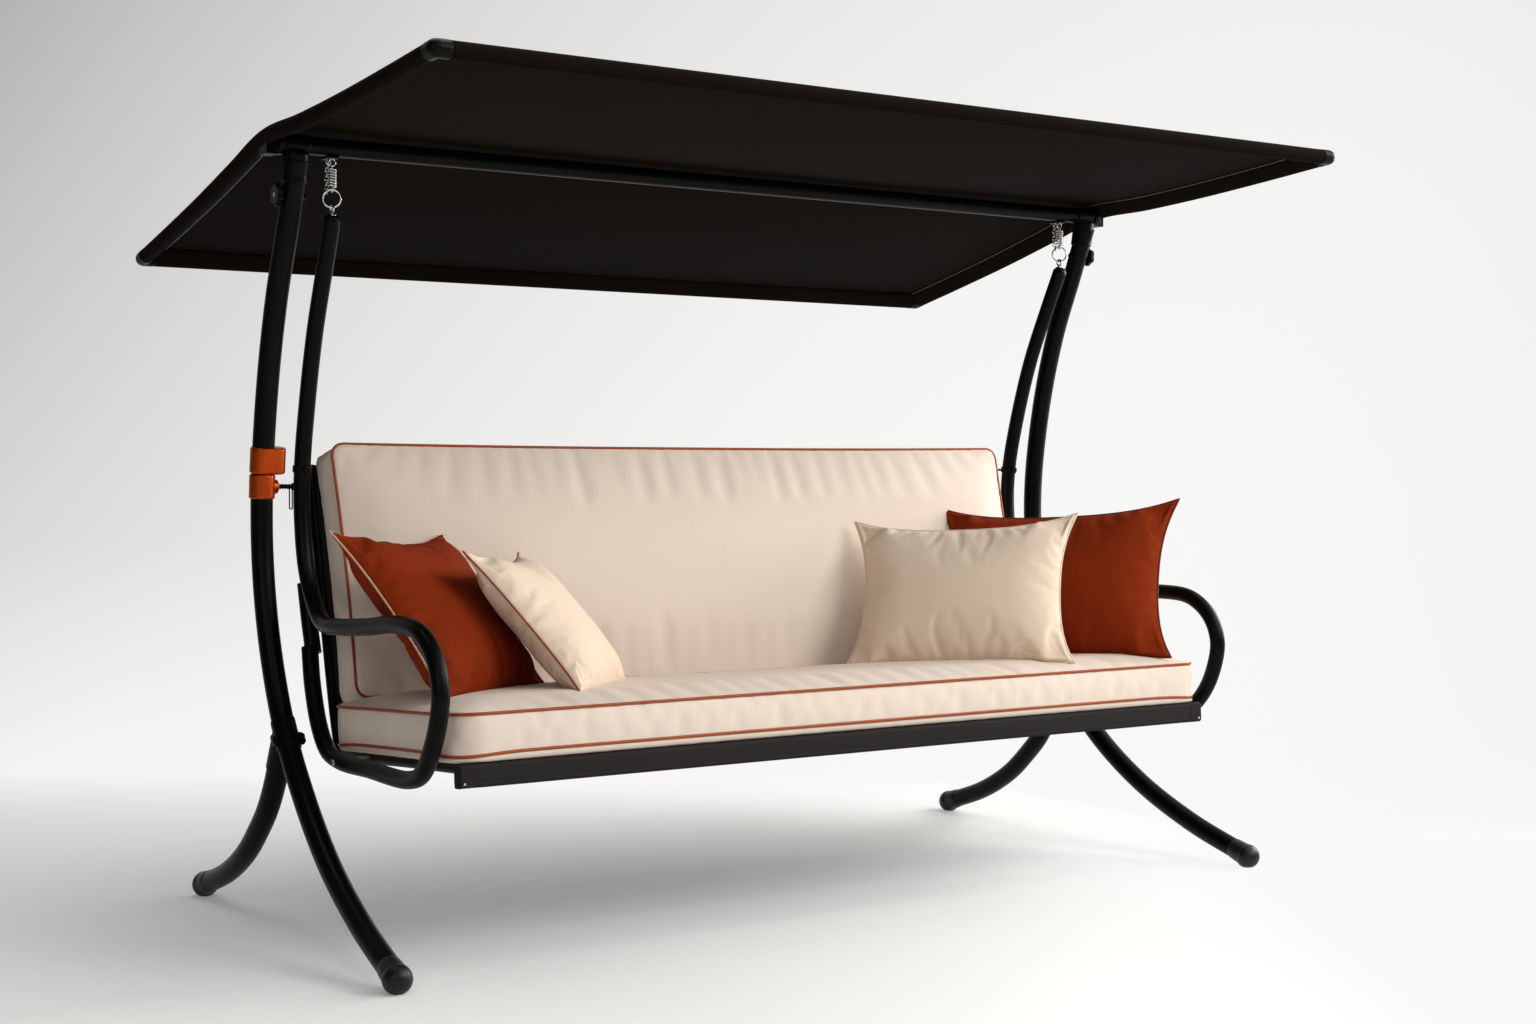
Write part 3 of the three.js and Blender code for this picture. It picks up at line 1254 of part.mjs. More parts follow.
for (const [label, side] of Object.entries(sides)) {
  const parts = stand(side, label);
  legBracket(side, label, parts);
  postHead(side, label, parts);
  hookEye(side, label);
  tiltKnob(side, label, parts);
  suspension(side, label);
  armHanger(side, label);
  sideRail(side, label);
  backStay(side, label);
}
const beamEnd = v(crossbarReach, 0, crossbarHeight);
add(part, "crossbar", bar(beamEnd.clone().setX(-crossbarReach), beamEnd, crossbarTube, roundSides), black);
canopyFrame();
canopyCloth();
const seat = seatDeck();
backFrame();
pillow("left_rust_pillow", leftRust, rust, seat);
pillow("left_cream_pillow", leftCream, cream, seat);
pillow("right_rust_pillow", rightRust, rust, seat);
pillow("right_cream_pillow", rightCream, cream, seat);
brake();

for (const name of ["left_tilt_knob", "right_tilt_knob"]) {
  console.log(name, part.getObjectByName(name).position.toArray().map((x) => x.toFixed(2)).join(" "));
}
console.log("swing axis", swingAxis.toFixed(2), "rock axis", rockAxis.toFixed(2), "ring", ringCentre.toFixed(2));

export default part;
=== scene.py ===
"""Looks of a garden swing seat with a canopy, built round its packed CAD model."""

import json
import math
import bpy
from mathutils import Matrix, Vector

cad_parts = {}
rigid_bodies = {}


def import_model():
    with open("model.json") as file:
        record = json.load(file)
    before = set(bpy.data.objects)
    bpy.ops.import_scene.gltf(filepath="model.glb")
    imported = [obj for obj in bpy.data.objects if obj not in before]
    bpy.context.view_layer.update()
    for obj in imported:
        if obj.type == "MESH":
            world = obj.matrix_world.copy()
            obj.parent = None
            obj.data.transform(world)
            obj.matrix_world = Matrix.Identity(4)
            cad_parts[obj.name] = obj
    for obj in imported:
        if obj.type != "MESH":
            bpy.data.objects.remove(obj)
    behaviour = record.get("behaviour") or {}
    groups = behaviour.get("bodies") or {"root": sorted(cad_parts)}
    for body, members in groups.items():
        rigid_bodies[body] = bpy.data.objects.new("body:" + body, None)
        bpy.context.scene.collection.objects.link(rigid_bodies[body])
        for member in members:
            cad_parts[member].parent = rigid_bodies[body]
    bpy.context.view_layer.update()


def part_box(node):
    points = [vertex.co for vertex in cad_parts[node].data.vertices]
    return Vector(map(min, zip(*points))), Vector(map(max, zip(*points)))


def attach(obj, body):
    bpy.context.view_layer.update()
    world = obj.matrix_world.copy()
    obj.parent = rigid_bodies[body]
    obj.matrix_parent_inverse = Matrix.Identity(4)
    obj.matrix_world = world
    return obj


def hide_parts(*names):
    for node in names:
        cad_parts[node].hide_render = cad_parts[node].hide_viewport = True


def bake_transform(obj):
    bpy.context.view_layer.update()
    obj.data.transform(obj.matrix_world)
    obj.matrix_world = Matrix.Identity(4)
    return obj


bl_info = {
    "name": "Canopy Swing Seat",
    "version": (1, 0, 0),
    "blender": (4, 5, 0),
    "location": "3D View > Sidebar > Swing Seat",
    "description": "Builds the tubes, cloth, cushions and fittings of a canopy swing seat round its CAD model",
    "category": "Object",
}

import bpy
import numpy as np
from mathutils import Matrix, Vector
from mathutils.kdtree import KDTree

for leftover in list(bpy.data.objects):
    bpy.data.objects.remove(leftover)
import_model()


# Lengths are millimetres until a mesh is made, as in the CAD source
MM = 0.001
SIDES = {"left": -1, "right": 1}

POST_TUBE = 50
POST_PLANE = 1160
POST_TOP = 1704
FRONT_REACH = 590
REAR_REACH = 578
FRONT_SPLAY = 37
FOOT_BALL = 62
FOOT_CENTRE = 28
FOOT_SLEEVE = 57
FOOT_SLEEVE_LENGTH = 48
SOCKET_DEPTH = 34
LEG_JOINT = 446
POST_SHARES = [
    (-0.025, 1), (0.064, 0.925), (0.187, 0.825), (0.287, 0.702), (0.344, 0.565), (0.333, 0.46),
    (0.262, 0.355), (0.127, 0.253), (-0.078, 0.168), (-0.349, 0.096), (-0.664, 0.041), (-1, 0),
]
LEG_SHARES = [
    (0, 1), (0.045, 0.9), (0.11, 0.73), (0.2, 0.565), (0.315, 0.425), (0.455, 0.285), (0.68, 0.135), (1, 0),
]
BRACKET_SKIN = 2.4
BRACKET_ON_POST = 62
BRACKET_ON_LEG = 46
EAR_RADIUS = 10
EAR_WIDTH = 20
EAR_HEIGHT = 431
EAR_INSIDE = 31
EAR_OUTSIDE = 25
BOLT_HEAD = 15

CROSSBAR_TUBE = 40
CROSSBAR_HEIGHT = 1738
CROSSBAR_REACH = 1203
HEAD_WALL = 3.4
HEAD_WIDTH = 56
HEAD_DROP = 52
HANG_PLANE = 1075
EYE_RADIUS = 8
EYE_WIRE = 4.4
CHAIN_EYE_BACK = 19
CHAIN_EYE_RADIUS = 5
CHAIN_EYE_WIRE = 3
KNOB_HEIGHT = 1628
KNOB_RADIUS = 24
KNOB_DEPTH = 13
KNOB_LOBES = 6

CANOPY_TUBE = 32
CANOPY_PLANE = 1222
CANOPY_REACH = 824
FRONT_BAR = 1808
REAR_BAR = 1553
RIDGE = 1750
RIDGE_BACK = 10
CANOPY_FRONT = [(0.24, 0.13), (0.5, 0.36), (0.75, 0.66)]
CANOPY_REAR = [(0.235, 0.25), (0.48, 0.51), (0.75, 0.77)]

SPRING_WIRE = 4
SPRING_COIL = 22
SPRING_CURLS = 7
SPRING_TOP = 1703.6
SPRING_FOOT = 1641.6
HOOK_LOOP = 5
RING_RADIUS = 19.5
RING_WIRE = 4
RING_TURN = 30
RING_CENTRE = 1626.4
ROCK_AXIS = 1606.9
LINK_COUNT = 7
LINK_WIRE = 2.6
LINK_WIDTH = 10.8
CHAIN_BOW = 7
CHAIN_FOOT_TURN = 35

HANGER_TUBE = 38
HANGER_PLANE = 1063
ARM_PLANE = 1096
HANGER_TOP = 1574
HANGER_BOW = 203
ARM_HEIGHT = 708
ARM_REACH = 578
LOWER_RUN = 388
UPRIGHT_TUBE = 37
CAP_HEIGHT = 15
HANGER_SHARES = [
    (0, 1), (0.236, 0.887), (0.552, 0.726), (0.813, 0.541), (0.975, 0.38), (1, 0.255), (0.9, 0.115), (0.7, 0.03),
]
ARM_SHARES = [
    (-0.13, 0.932, 0.2), (0.035, 0.92, 0.45), (0.346, 0.952, 0.75), (0.66, 1, 0.95), (0.84, 0.965, 1),
    (0.955, 0.82, 1), (1, 0.63, 1), (0.982, 0.43, 1), (0.925, 0.225, 1), (0.84, 0.07, 0.9), (0.72, 0.008, 0.8),
    (0.346, 0, 0.6), (0.09, 0.002, 0.58), (-0.03, 0.053, 0.58), (-0.112, 0.208, 0.58), (-0.195, 0.488, 0.45),
    (-0.255, 0.74, 0.2),
]
UPRIGHT_SHARES = [(-0.245, 0.7), (-0.285, 0.92), (-0.325, 1.19)]

DECK_FRONT = 566
DECK_HEIGHT = 435
DECK_PITCH = 3.3
SEAT_DEPTH = 632
SEAT_HALF = 1060
SEAT_THICKNESS = 106
SEAT_CROWN = 13
SLING = 2.5
FRONT_RAIL_DEPTH = 24
FRONT_RAIL_HEIGHT = 44
FRONT_RAIL_HALF = 1046
FRONT_RAIL_CORNER = 6
RAIL_TUBE = 25
RAIL_PLANE = 1005
BEND_RADIUS = 62
SEAT_BOLT_BACK = 60
BACK_LEAN = 14.1
BACK_HALF = 999
BACK_HEIGHT = 592
BACK_THICKNESS = 112
BACK_CROWN = 14
BACK_FOOT = 516
BACK_FOOT_FORWARD = 38
TOP_RAIL_DROP = 22
STAY_HEIGHT = 1030
SEAT_CORNER = 76
BACK_CORNER = 32
PIPE_RADIUS = 3.4
LOW_SEAM = 19
HIGH_SEAM = 7
DRAW_IN = 7

BRAKE_HEIGHT = 990
COLLAR_FOOT = 1020
COLLAR_HEIGHT = 60
COLLAR_BULGE = 23
CLAMP_GAP = 2.5
CLAMP_HEIGHT = 54
BOSS_TUBE = 33
BOSS_REACH = 35
BRAKE_COIL = 13
BRAKE_WIRE = 2.2
BRAKE_CURLS = 4
LOOP_WIDTH = 20
LOOP_LENGTH = 54
LOOP_WIRE = 3

PILLOWS = {
    "left_rust_pillow": {
        "at": (-874, -132, 738), "turn": 34, "lean": 36, "size": (450, 440, 150), "seed": 3, "trim": "tan_piping",
    },
    "left_cream_pillow": {
        "at": (-640, -195, 706), "turn": 46, "lean": 39, "size": (410, 390, 130), "seed": 7, "trim": "piping",
    },
    "right_rust_pillow": {
        "at": (868, -205, 768), "turn": -60, "lean": 19, "size": (640, 420, 150), "seed": 11, "trim": "dark_piping",
    },
    "right_cream_pillow": {
        "at": (545, -215, 742), "turn": -50, "lean": 24, "size": (570, 400, 145), "seed": 5, "trim": "pale_piping",
    },
}


# Lines and shapes

X, Y, Z = np.eye(3)
TIP = 0.01


def vec(x, y, z):
    return np.array((x, y, z), float)


def mix(a, b, share):
    return a + (b - a) * share


def unit(v):
    return v / np.linalg.norm(v)


def moved(points, matrix):
    """Points in millimetres through a 4 by 4 matrix."""
    m = np.array(matrix, float)
    return np.asarray(points, float) @ m[:3, :3].T + m[:3, 3]


def spline(points, per_span=24):
    """Centripetal spline through points, which the CAD's bent tubes follow too."""
    p = np.array(points, float)
    p = np.vstack([2 * p[0] - p[1], p, 2 * p[-1] - p[-2]])
    w = np.linspace(0, 1, per_span, endpoint=False)[:, None]
    found = []
    for p0, p1, p2, p3 in zip(p[:-3], p[1:-2], p[2:-1], p[3:]):
        d0, d1, d2 = (np.linalg.norm(b - a) ** 0.5 for a, b in ((p0, p1), (p1, p2), (p2, p3)))
        m1 = d1 * ((p1 - p0) / d0 - (p2 - p0) / (d0 + d1) + (p2 - p1) / d1)
        m2 = d1 * ((p2 - p1) / d1 - (p3 - p1) / (d1 + d2) + (p3 - p2) / d2)
        found.append(p1 + m1 * w + (3 * (p2 - p1) - 2 * m1 - m2) * w**2 + (2 * (p1 - p2) + m1 + m2) * w**3)
    found.append(p[-2:-1])
    return np.vstack(found)


def distances(line):
    return np.concatenate([[0], np.cumsum(np.linalg.norm(np.diff(line, axis=0), axis=1))])


def stretch(line, start=0.0, end=0.0, spacing=14.0):
    """The line again in even steps, with a length left off at either end."""
    at = distances(line)
    last = at[-1] - end
    count = max(2, int(round((last - start) / spacing)) + 1)
    want = np.linspace(start, last, count)
    return np.column_stack([np.interp(want, at, line[:, k]) for k in range(3)])


def at_height(line, height):
    """The point where a line first passes a height, and its direction there."""
    for a, b in zip(line[:-1], line[1:]):
        if (a[2] - height) * (b[2] - height) <= 0 and a[2] != b[2]:
            return mix(a, b, (height - a[2]) / (b[2] - a[2])), unit(b - a)
    raise ValueError("the line doesn't reach that height")


def arc(centre, a, b, radius, start, end, steps):
    """Points of an arc about a centre, in the plane of directions a and b, angles in degrees."""
    angles = np.radians(np.linspace(start, end, steps + 1))[:, None]
    return centre + radius * (np.cos(angles) * a + np.sin(angles) * b)


def square_to(d):
    """A direction square to another."""
    return unit(np.cross(d, Z if abs(d[2]) < 0.9 else X))


def skin(rings, count, closed=False):
    """Faces between rings of corners, with a cap at either end unless the rings close."""
    faces = []
    for i in range(rings if closed else rings - 1):
        for j in range(count):
            k, m = (j + 1) % count, (i + 1) % rings
            faces.append((i * count + j, i * count + k, m * count + k, m * count + j))
    if not closed:
        faces.append(tuple(range(count))[::-1])
        faces.append(tuple(range((rings - 1) * count, rings * count)))
    return faces


def lathe(origin, direction, profile, sides=40):
    """A turned solid from (radius, height) pairs along a direction, closed at both ends."""
    d = unit(np.asarray(direction, float))
    a = square_to(d)
    profile = [(max(r, TIP), h) for r, h in profile]
    if profile[0][0] > 2 * TIP:
        profile.insert(0, (TIP, profile[0][1]))
    if profile[-1][0] > 2 * TIP:
        profile.append((TIP, profile[-1][1]))
    angles = np.linspace(0, 2 * math.pi, sides, endpoint=False)
    circle = np.outer(np.cos(angles), a) + np.outer(np.sin(angles), np.cross(d, a))
    return np.vstack([origin + d * h + circle * r for r, h in profile]), skin(len(profile), sides)


def rod(a, b, diameter, sides=40, edge=0.0):
    """A straight round bar, with its end edges broken where edge isn't zero."""
    length, r = np.linalg.norm(b - a), diameter / 2
    profile = [(r, 0), (r, length)]
    if edge:
        rim = [(r - edge, 0), (r - edge * 0.3, edge * 0.3), (r, edge)]
        profile = rim + [(x, length - h) for x, h in rim[::-1]]
    return lathe(a, b - a, profile, sides)


def prism(outline, direction, depth, edge=1.0):
    """A flat outline of points pushed along a direction, with broken edges."""
    outline = np.asarray(outline, float)
    d = unit(np.asarray(direction, float))
    middle = outline.mean(0)
    inner = outline + (middle - outline) * (edge / np.linalg.norm(outline - middle, axis=1, keepdims=True))
    rings = [inner, outline + d * edge, outline + d * (depth - edge), inner + d * depth]
    return np.vstack(rings), skin(4, len(outline))


def slab(low, high):
    (x0, y0, z0), (x1, y1, z1) = low, high
    return prism([(x0, y0, z0), (x1, y0, z0), (x1, y1, z0), (x0, y1, z0)], Z, z1 - z0, 0.4)


def ring(centre, a, b, radius, wire, steps=48, sides=14):
    """A closed wire ring in the plane of two directions."""
    middles = arc(centre, a, b, radius, 0, 360 - 360 / steps, steps - 1)
    along = unit_rows(np.roll(middles, -1, 0) - np.roll(middles, 1, 0))
    across = square_to(along[0])
    angles = np.linspace(0, 2 * math.pi, sides, endpoint=False)[:, None]
    rings = []
    for middle, way in zip(middles, along):
        across = unit(across - way * (across @ way))
        rings.append(middle + wire / 2 * (np.cos(angles) * across + np.sin(angles) * np.cross(way, across)))
    return np.vstack(rings), skin(steps, sides, closed=True)


def hexagon(centre, direction, width, height):
    """A bolt head or nut with a chamfered crown."""
    d = unit(direction)
    a = square_to(d)
    return prism(arc(centre, a, np.cross(d, a), width / 2, 0, 300, 5), d, height, 0.8)


def unit_rows(rows):
    return rows / np.linalg.norm(rows, axis=1, keepdims=True)


# Meshes and objects

def mesh_object(name, corners, faces, edges=()):
    mesh = bpy.data.meshes.new(name)
    mesh.from_pydata((np.asarray(corners, float) * MM).tolist(), [list(e) for e in edges], [list(f) for f in faces])
    mesh.update()
    made = bpy.data.objects.new(name, mesh)
    bpy.context.scene.collection.objects.link(made)
    return made


def baked(made):
    """Applies every modifier and leaves a plain mesh."""
    bpy.context.view_layer.update()
    graph = bpy.context.evaluated_depsgraph_get()
    result = bpy.data.meshes.new_from_object(made.evaluated_get(graph))
    made.modifiers.clear()
    old = made.data
    made.data = result
    result.name = made.name
    if old.users == 0:
        bpy.data.meshes.remove(old)
    return made


def solid(name, *shapes):
    """Shapes side by side in one mesh."""
    corners, faces, base = [], [], 0
    for points, polygons in shapes:
        corners.append(points)
        faces += [tuple(base + i for i in f) for f in polygons]
        base += len(points)
    return mesh_object(name, np.vstack(corners), faces)


def fused(name, *shapes, voxel=1.4, passes=5):
    """Shapes grown into one skin, with soft welds where they meet."""
    made = solid(name, *shapes)
    remesh = made.modifiers.new("Skin", "REMESH")
    remesh.mode = "VOXEL"
    remesh.voxel_size = voxel * MM
    smooth = made.modifiers.new("Soften", "SMOOTH")
    smooth.factor = 0.5
    smooth.iterations = passes
    return baked(made)


def read(items, key, width=3, kind=np.float32):
    """One property of every item, a row for each where it has more than one number."""
    found = np.zeros(len(items) * width, kind)
    items.foreach_get(key, found)
    return found.reshape(-1, width) if width > 1 else found


def places_of(mesh):
    return read(mesh.vertices, "co").astype(float) / MM


def normals_of(mesh):
    return read(mesh.vertex_normals, "vector").astype(float)


def put_places(mesh, points):
    mesh.vertices.foreach_set("co", (np.asarray(points) * MM).astype(np.float32).ravel())
    mesh.update()


def loop_corners(mesh):
    return read(mesh.loops, "vertex_index", 1, np.int32)


def set_map(mesh, rows):
    mesh.uv_layers.new(name="weave").data.foreach_set("uv", rows.astype(np.float32).ravel())


def lay_map(mesh, maps):
    """A cloth map in metres, from each corner's place on the flat sheet in millimetres."""
    set_map(mesh, np.array(maps)[loop_corners(mesh)] * MM)


def weave_map(mesh, matrix):
    """A cloth map in metres, laid on each face from the side that it looks to in its own frame."""
    turn = np.array(matrix, float)[:3, :3]
    axis = np.abs(read(mesh.polygons, "normal") @ turn).argmax(1)
    axis = np.repeat(axis, read(mesh.polygons, "loop_total", 1, np.int32))
    places = (read(mesh.vertices, "co") @ turn)[loop_corners(mesh)]
    first = np.where(axis == 0, places[:, 1], places[:, 0])
    second = np.where(axis == 2, places[:, 1], places[:, 2])
    set_map(mesh, np.column_stack([first, second]))


def thicken(made, thickness):
    cloth = made.modifiers.new("Cloth", "SOLIDIFY")
    cloth.thickness = thickness * MM
    cloth.offset = 0


def settle(made, paint, slot, body=None, nodes=(), sharp=38.0):
    """Gives a finished mesh its material, its shading, its body and the nodes that it stands for."""
    mesh = made.data
    mesh.materials.clear()
    mesh.materials.append(PAINTS[paint])
    mesh.polygons.foreach_set("use_smooth", np.ones(len(mesh.polygons), bool))
    mesh.polygons.foreach_set("material_index", np.zeros(len(mesh.polygons), np.int32))
    mesh.set_sharp_from_angle(angle=math.radians(sharp))
    mesh.update()
    if nodes:
        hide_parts(*nodes)
    if body:
        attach(made, body)
    return made


def steel(made, body, *nodes, sharp=38.0):
    """A piece under black powder paint."""
    return settle(made, "tube", "frame", body, nodes, sharp)


def steel_tube(name, line, diameter, body, *nodes, sides=40):
    return steel(tube(name, [line], diameter, "tube", sides), body, *nodes)


# Geometry Nodes

class Growth:
    """A Geometry Nodes tree with named inputs, run on a mesh of guide lines."""

    def __init__(self, name, inputs):
        self.tree = bpy.data.node_groups.new(name, "GeometryNodeTree")
        face = self.tree.interface
        face.new_socket("Guide", in_out="INPUT", socket_type="NodeSocketGeometry")
        self.ids = {}
        for label, kind, value in [*inputs, ("Material", "Material", None)]:
            socket = face.new_socket(label, in_out="INPUT", socket_type=f"NodeSocket{kind}")
            if value is not None:
                socket.default_value = value
            self.ids[label] = socket.identifier
        face.new_socket("Result", in_out="OUTPUT", socket_type="NodeSocketGeometry")
        self.input = self.tree.nodes.new("NodeGroupInput")
        self.output = self.tree.nodes.new("NodeGroupOutput")

    def node(self, kind, values=None, **settings):
        """A new node's first output. A value is an input's name, a socket or a number."""
        made = self.tree.nodes.new(kind)
        for key, value in settings.items():
            setattr(made, key, value)
        for key, value in (values or {}).items():
            if isinstance(value, str):
                value = self.input.outputs[value]
            if isinstance(value, bpy.types.NodeSocket):
                self.tree.links.new(value, made.inputs[key])
            else:
                made.inputs[key].default_value = value
        return made.outputs[0]

    def finish(self, geometry):
        real = self.node("GeometryNodeRealizeInstances", {"Geometry": geometry})
        painted = self.node("GeometryNodeSetMaterial", {"Geometry": real, "Material": "Material"})
        self.tree.links.new(painted, self.output.inputs[0])
        return self

    def grow(self, name, lines, **values):
        """Runs the tree on guide lines, each a pair of points and whether it is closed, and bakes the result."""
        corners, edges, base = [], [], 0
        for points, closed in lines:
            n = len(points)
            corners.append(points)
            edges += [(base + i, base + i + 1) for i in range(n - 1)]
            if closed:
                edges.append((base + n - 1, base))
            base += n
        made = mesh_object(name, np.vstack(corners), (), edges)
        modifier = made.modifiers.new("Growth", "NODES")
        modifier.node_group = self.tree
        for label, value in values.items():
            modifier[self.ids[label]] = value
        return baked(made)


def tube_growth():
    g = Growth("Tube along a line", [("Radius", "Float", 0.01), ("Sides", "Int", 24)])
    curve = g.node("GeometryNodeMeshToCurve", {"Mesh": "Guide"})
    circle = g.node("GeometryNodeCurvePrimitiveCircle", {"Resolution": "Sides", "Radius": "Radius"})
    return g.finish(g.node("GeometryNodeCurveToMesh", {"Curve": curve, "Profile Curve": circle, "Fill Caps": True}))


def stitch_growth():
    g = Growth("Stitches along a seam", [
        ("Pitch", "Float", 0.004), ("Thread", "Float", 0.0005), ("Share", "Float", 0.7),
    ])
    curve = g.node("GeometryNodeMeshToCurve", {"Mesh": "Guide"})
    even = g.node("GeometryNodeResampleCurve", {"Curve": curve, "Length": "Pitch"}, mode="LENGTH")
    turn = g.node("FunctionNodeAlignRotationToVector", {"Vector": g.node("GeometryNodeInputTangent")}, axis="Z")
    length = g.node("ShaderNodeMath", {0: "Pitch", 1: "Share"}, operation="MULTIPLY")
    thread = g.node("GeometryNodeMeshCylinder", {
        "Vertices": 6, "Side Segments": 1, "Radius": "Thread", "Depth": length,
    })
    return g.finish(g.node("GeometryNodeInstanceOnPoints", {"Points": even, "Instance": thread, "Rotation": turn}))


TUBES = tube_growth()
STITCHES = stitch_growth()


def tube(name, lines, diameter, paint, sides=28):
    """Round tubes or wires along lines. A line is its points, or its points and True where it is closed."""
    guides = [line if isinstance(line, tuple) else (line, False) for line in lines]
    return TUBES.grow(name, guides, Radius=diameter / 2 * MM, Sides=sides, Material=PAINTS[paint])


def stitches(name, lines, slot, body, thread=0.0005, pitch=1.0):
    """Rows of stitches along lines of points."""
    made = STITCHES.grow(name, [(line, False) for line in lines], Thread=thread, Material=PAINTS["thread"],
                         Pitch=bpy.context.scene.swing_sizes.stitch_pitch * pitch)
    return settle(made, "thread", slot, body)


# Shaders

def socket_sum(operation):
    return lambda value, other: value.maths(operation, other)


class Value:
    """A shader socket that works in Python sums."""

    def __init__(self, shading, socket):
        self.shading = shading
        self.socket = socket

    def maths(self, operation, *others, clamp=False):
        return self.shading.maths(operation, self, *others, clamp=clamp)

    __add__ = __radd__ = socket_sum("ADD")
    __sub__ = socket_sum("SUBTRACT")
    __mul__ = __rmul__ = socket_sum("MULTIPLY")

    def __rsub__(self, other):
        return self.shading.maths("SUBTRACT", other, self)

    def clamped(self):
        return self.maths("ADD", 0.0, clamp=True)


class Shading:
    """A material under construction."""

    def __init__(self, name):
        self.material = bpy.data.materials.new(name)
        self.material.use_nodes = True
        self.tree = self.material.node_tree
        self.tree.nodes.clear()
        self.output = self.tree.nodes.new("ShaderNodeOutputMaterial")
        self.at = self.node("ShaderNodeTexCoord", output="Object")

    def put(self, socket, value):
        if isinstance(value, Value):
            self.tree.links.new(value.socket, socket)
        else:
            socket.default_value = value

    def node(self, kind, values=None, output=0, **settings):
        made = self.tree.nodes.new(kind)
        for key, value in settings.items():
            setattr(made, key, value)
        for key, value in (values or {}).items():
            self.put(made.inputs[key], value)
        return Value(self, made.outputs[output])

    def maths(self, operation, *items, clamp=False):
        return self.node("ShaderNodeMath", dict(enumerate(items)), operation=operation, use_clamp=clamp)

    def split(self, places):
        """The x, y and z of a place."""
        made = self.node("ShaderNodeSeparateXYZ", {"Vector": places}).socket.node
        return [Value(self, socket) for socket in made.outputs]

    def along(self, direction):
        """How far the shaded point lies along a direction."""
        return self.node("ShaderNodeVectorMath", {0: self.at, 1: direction}, "Value", operation="DOT_PRODUCT")

    def scaled(self, places, scale, turn=0.0):
        return self.node("ShaderNodeMapping", {
            "Vector": places, "Scale": scale, "Rotation": (0, 0, math.radians(turn)),
        })

    def noise(self, places, scale, detail=2.0, rough=0.5):
        return self.node("ShaderNodeTexNoise", {
            "Vector": places, "Scale": scale, "Detail": detail, "Roughness": rough,
        })

    def cells(self, scale, output=0):
        return self.node("ShaderNodeTexVoronoi", {"Vector": self.at, "Scale": scale}, output, feature="F1")

    def blend(self, share, low, high):
        values = {"Factor": share, 6: (*low, 1), 7: (*high, 1)}
        return self.node("ShaderNodeMix", values, 2, data_type="RGBA")

    def bump(self, height, distance, strength=1.0, **below):
        return self.node("ShaderNodeBump", {"Height": height, "Distance": distance, "Strength": strength, **below})

    def surface(self, **values):
        named = {key.replace("_", " "): value for key, value in values.items()}
        self.put(self.output.inputs["Surface"], self.node("ShaderNodeBsdfPrincipled", named))
        return self.material


def shade(colour, *factors):
    """A colour times one factor, or times one for each channel."""
    return tuple(min(1.0, c * f) for c, f in zip(colour, factors * (3 // len(factors))))


def powder_coat(name, colour, rough=0.34):
    """Baked powder paint on steel: fine orange peel, a broad unevenness in gloss and a little dust."""
    s = Shading(name)
    peel = s.noise(s.at, 750.0)
    broad = s.noise(s.at, 5.0, 3.0)
    dust = s.noise(s.at, 60.0, 4.0, 0.7)
    tint = s.blend((broad * 0.6 + dust * 0.4).clamped(), shade(colour, 0.75), shade(colour, 1.35))
    gloss = (rough - 0.06) + broad * 0.09 + dust * 0.06
    return s.surface(Base_Color=tint, Roughness=gloss, Normal=s.bump(peel, 0.00006), Specular_IOR_Level=0.085)


def moulded(name, colour, rough=0.42, gloss=0.14):
    """Moulded plastic or rubber with a fine leathery grain."""
    s = Shading(name)
    broad = s.noise(s.at, 22.0, 3.0)
    return s.surface(
        Base_Color=s.blend(broad, shade(colour, 0.8), shade(colour, 1.5)), Roughness=rough + (broad - 0.5) * 0.16,
        Normal=s.bump(s.cells(900.0), 0.0001), Specular_IOR_Level=gloss,
    )


def plated(name, colour, rough):
    """Bright plating with drawn scratches and a little bloom."""
    s = Shading(name)
    scratch = s.noise(s.scaled(s.at, (60.0, 60.0, 900.0)), 3.0, 3.0, 0.6)
    bloom = s.noise(s.at, 90.0)
    return s.surface(
        Base_Color=s.blend(bloom, shade(colour, 0.82), shade(colour, 1.08)), Metallic=1.0,
        Roughness=rough + (scratch - 0.5) * 0.1 + (bloom - 0.5) * 0.08, Normal=s.bump(scratch, 0.00003),
    )


def metallic_paint(name, colour):
    """Copper-orange metallic lacquer: flakes under a clear coat."""
    s = Shading(name)
    sparkle = s.node("ShaderNodeSeparateColor", {"Color": s.cells(1600.0, "Color")})
    broad = s.noise(s.at, 40.0, 3.0)
    tint = s.blend((sparkle * 0.45 + broad * 0.55).clamped(), shade(colour, 0.7), shade(colour, 1.25))
    return s.surface(
        Base_Color=tint, Metallic=0.85, Roughness=0.36 + (broad - 0.5) * 0.12,
        Normal=s.bump(s.noise(s.at, 700.0), 0.00004), Coat_Weight=0.05, Coat_Roughness=0.2,
        Specular_IOR_Level=0.3,
    )


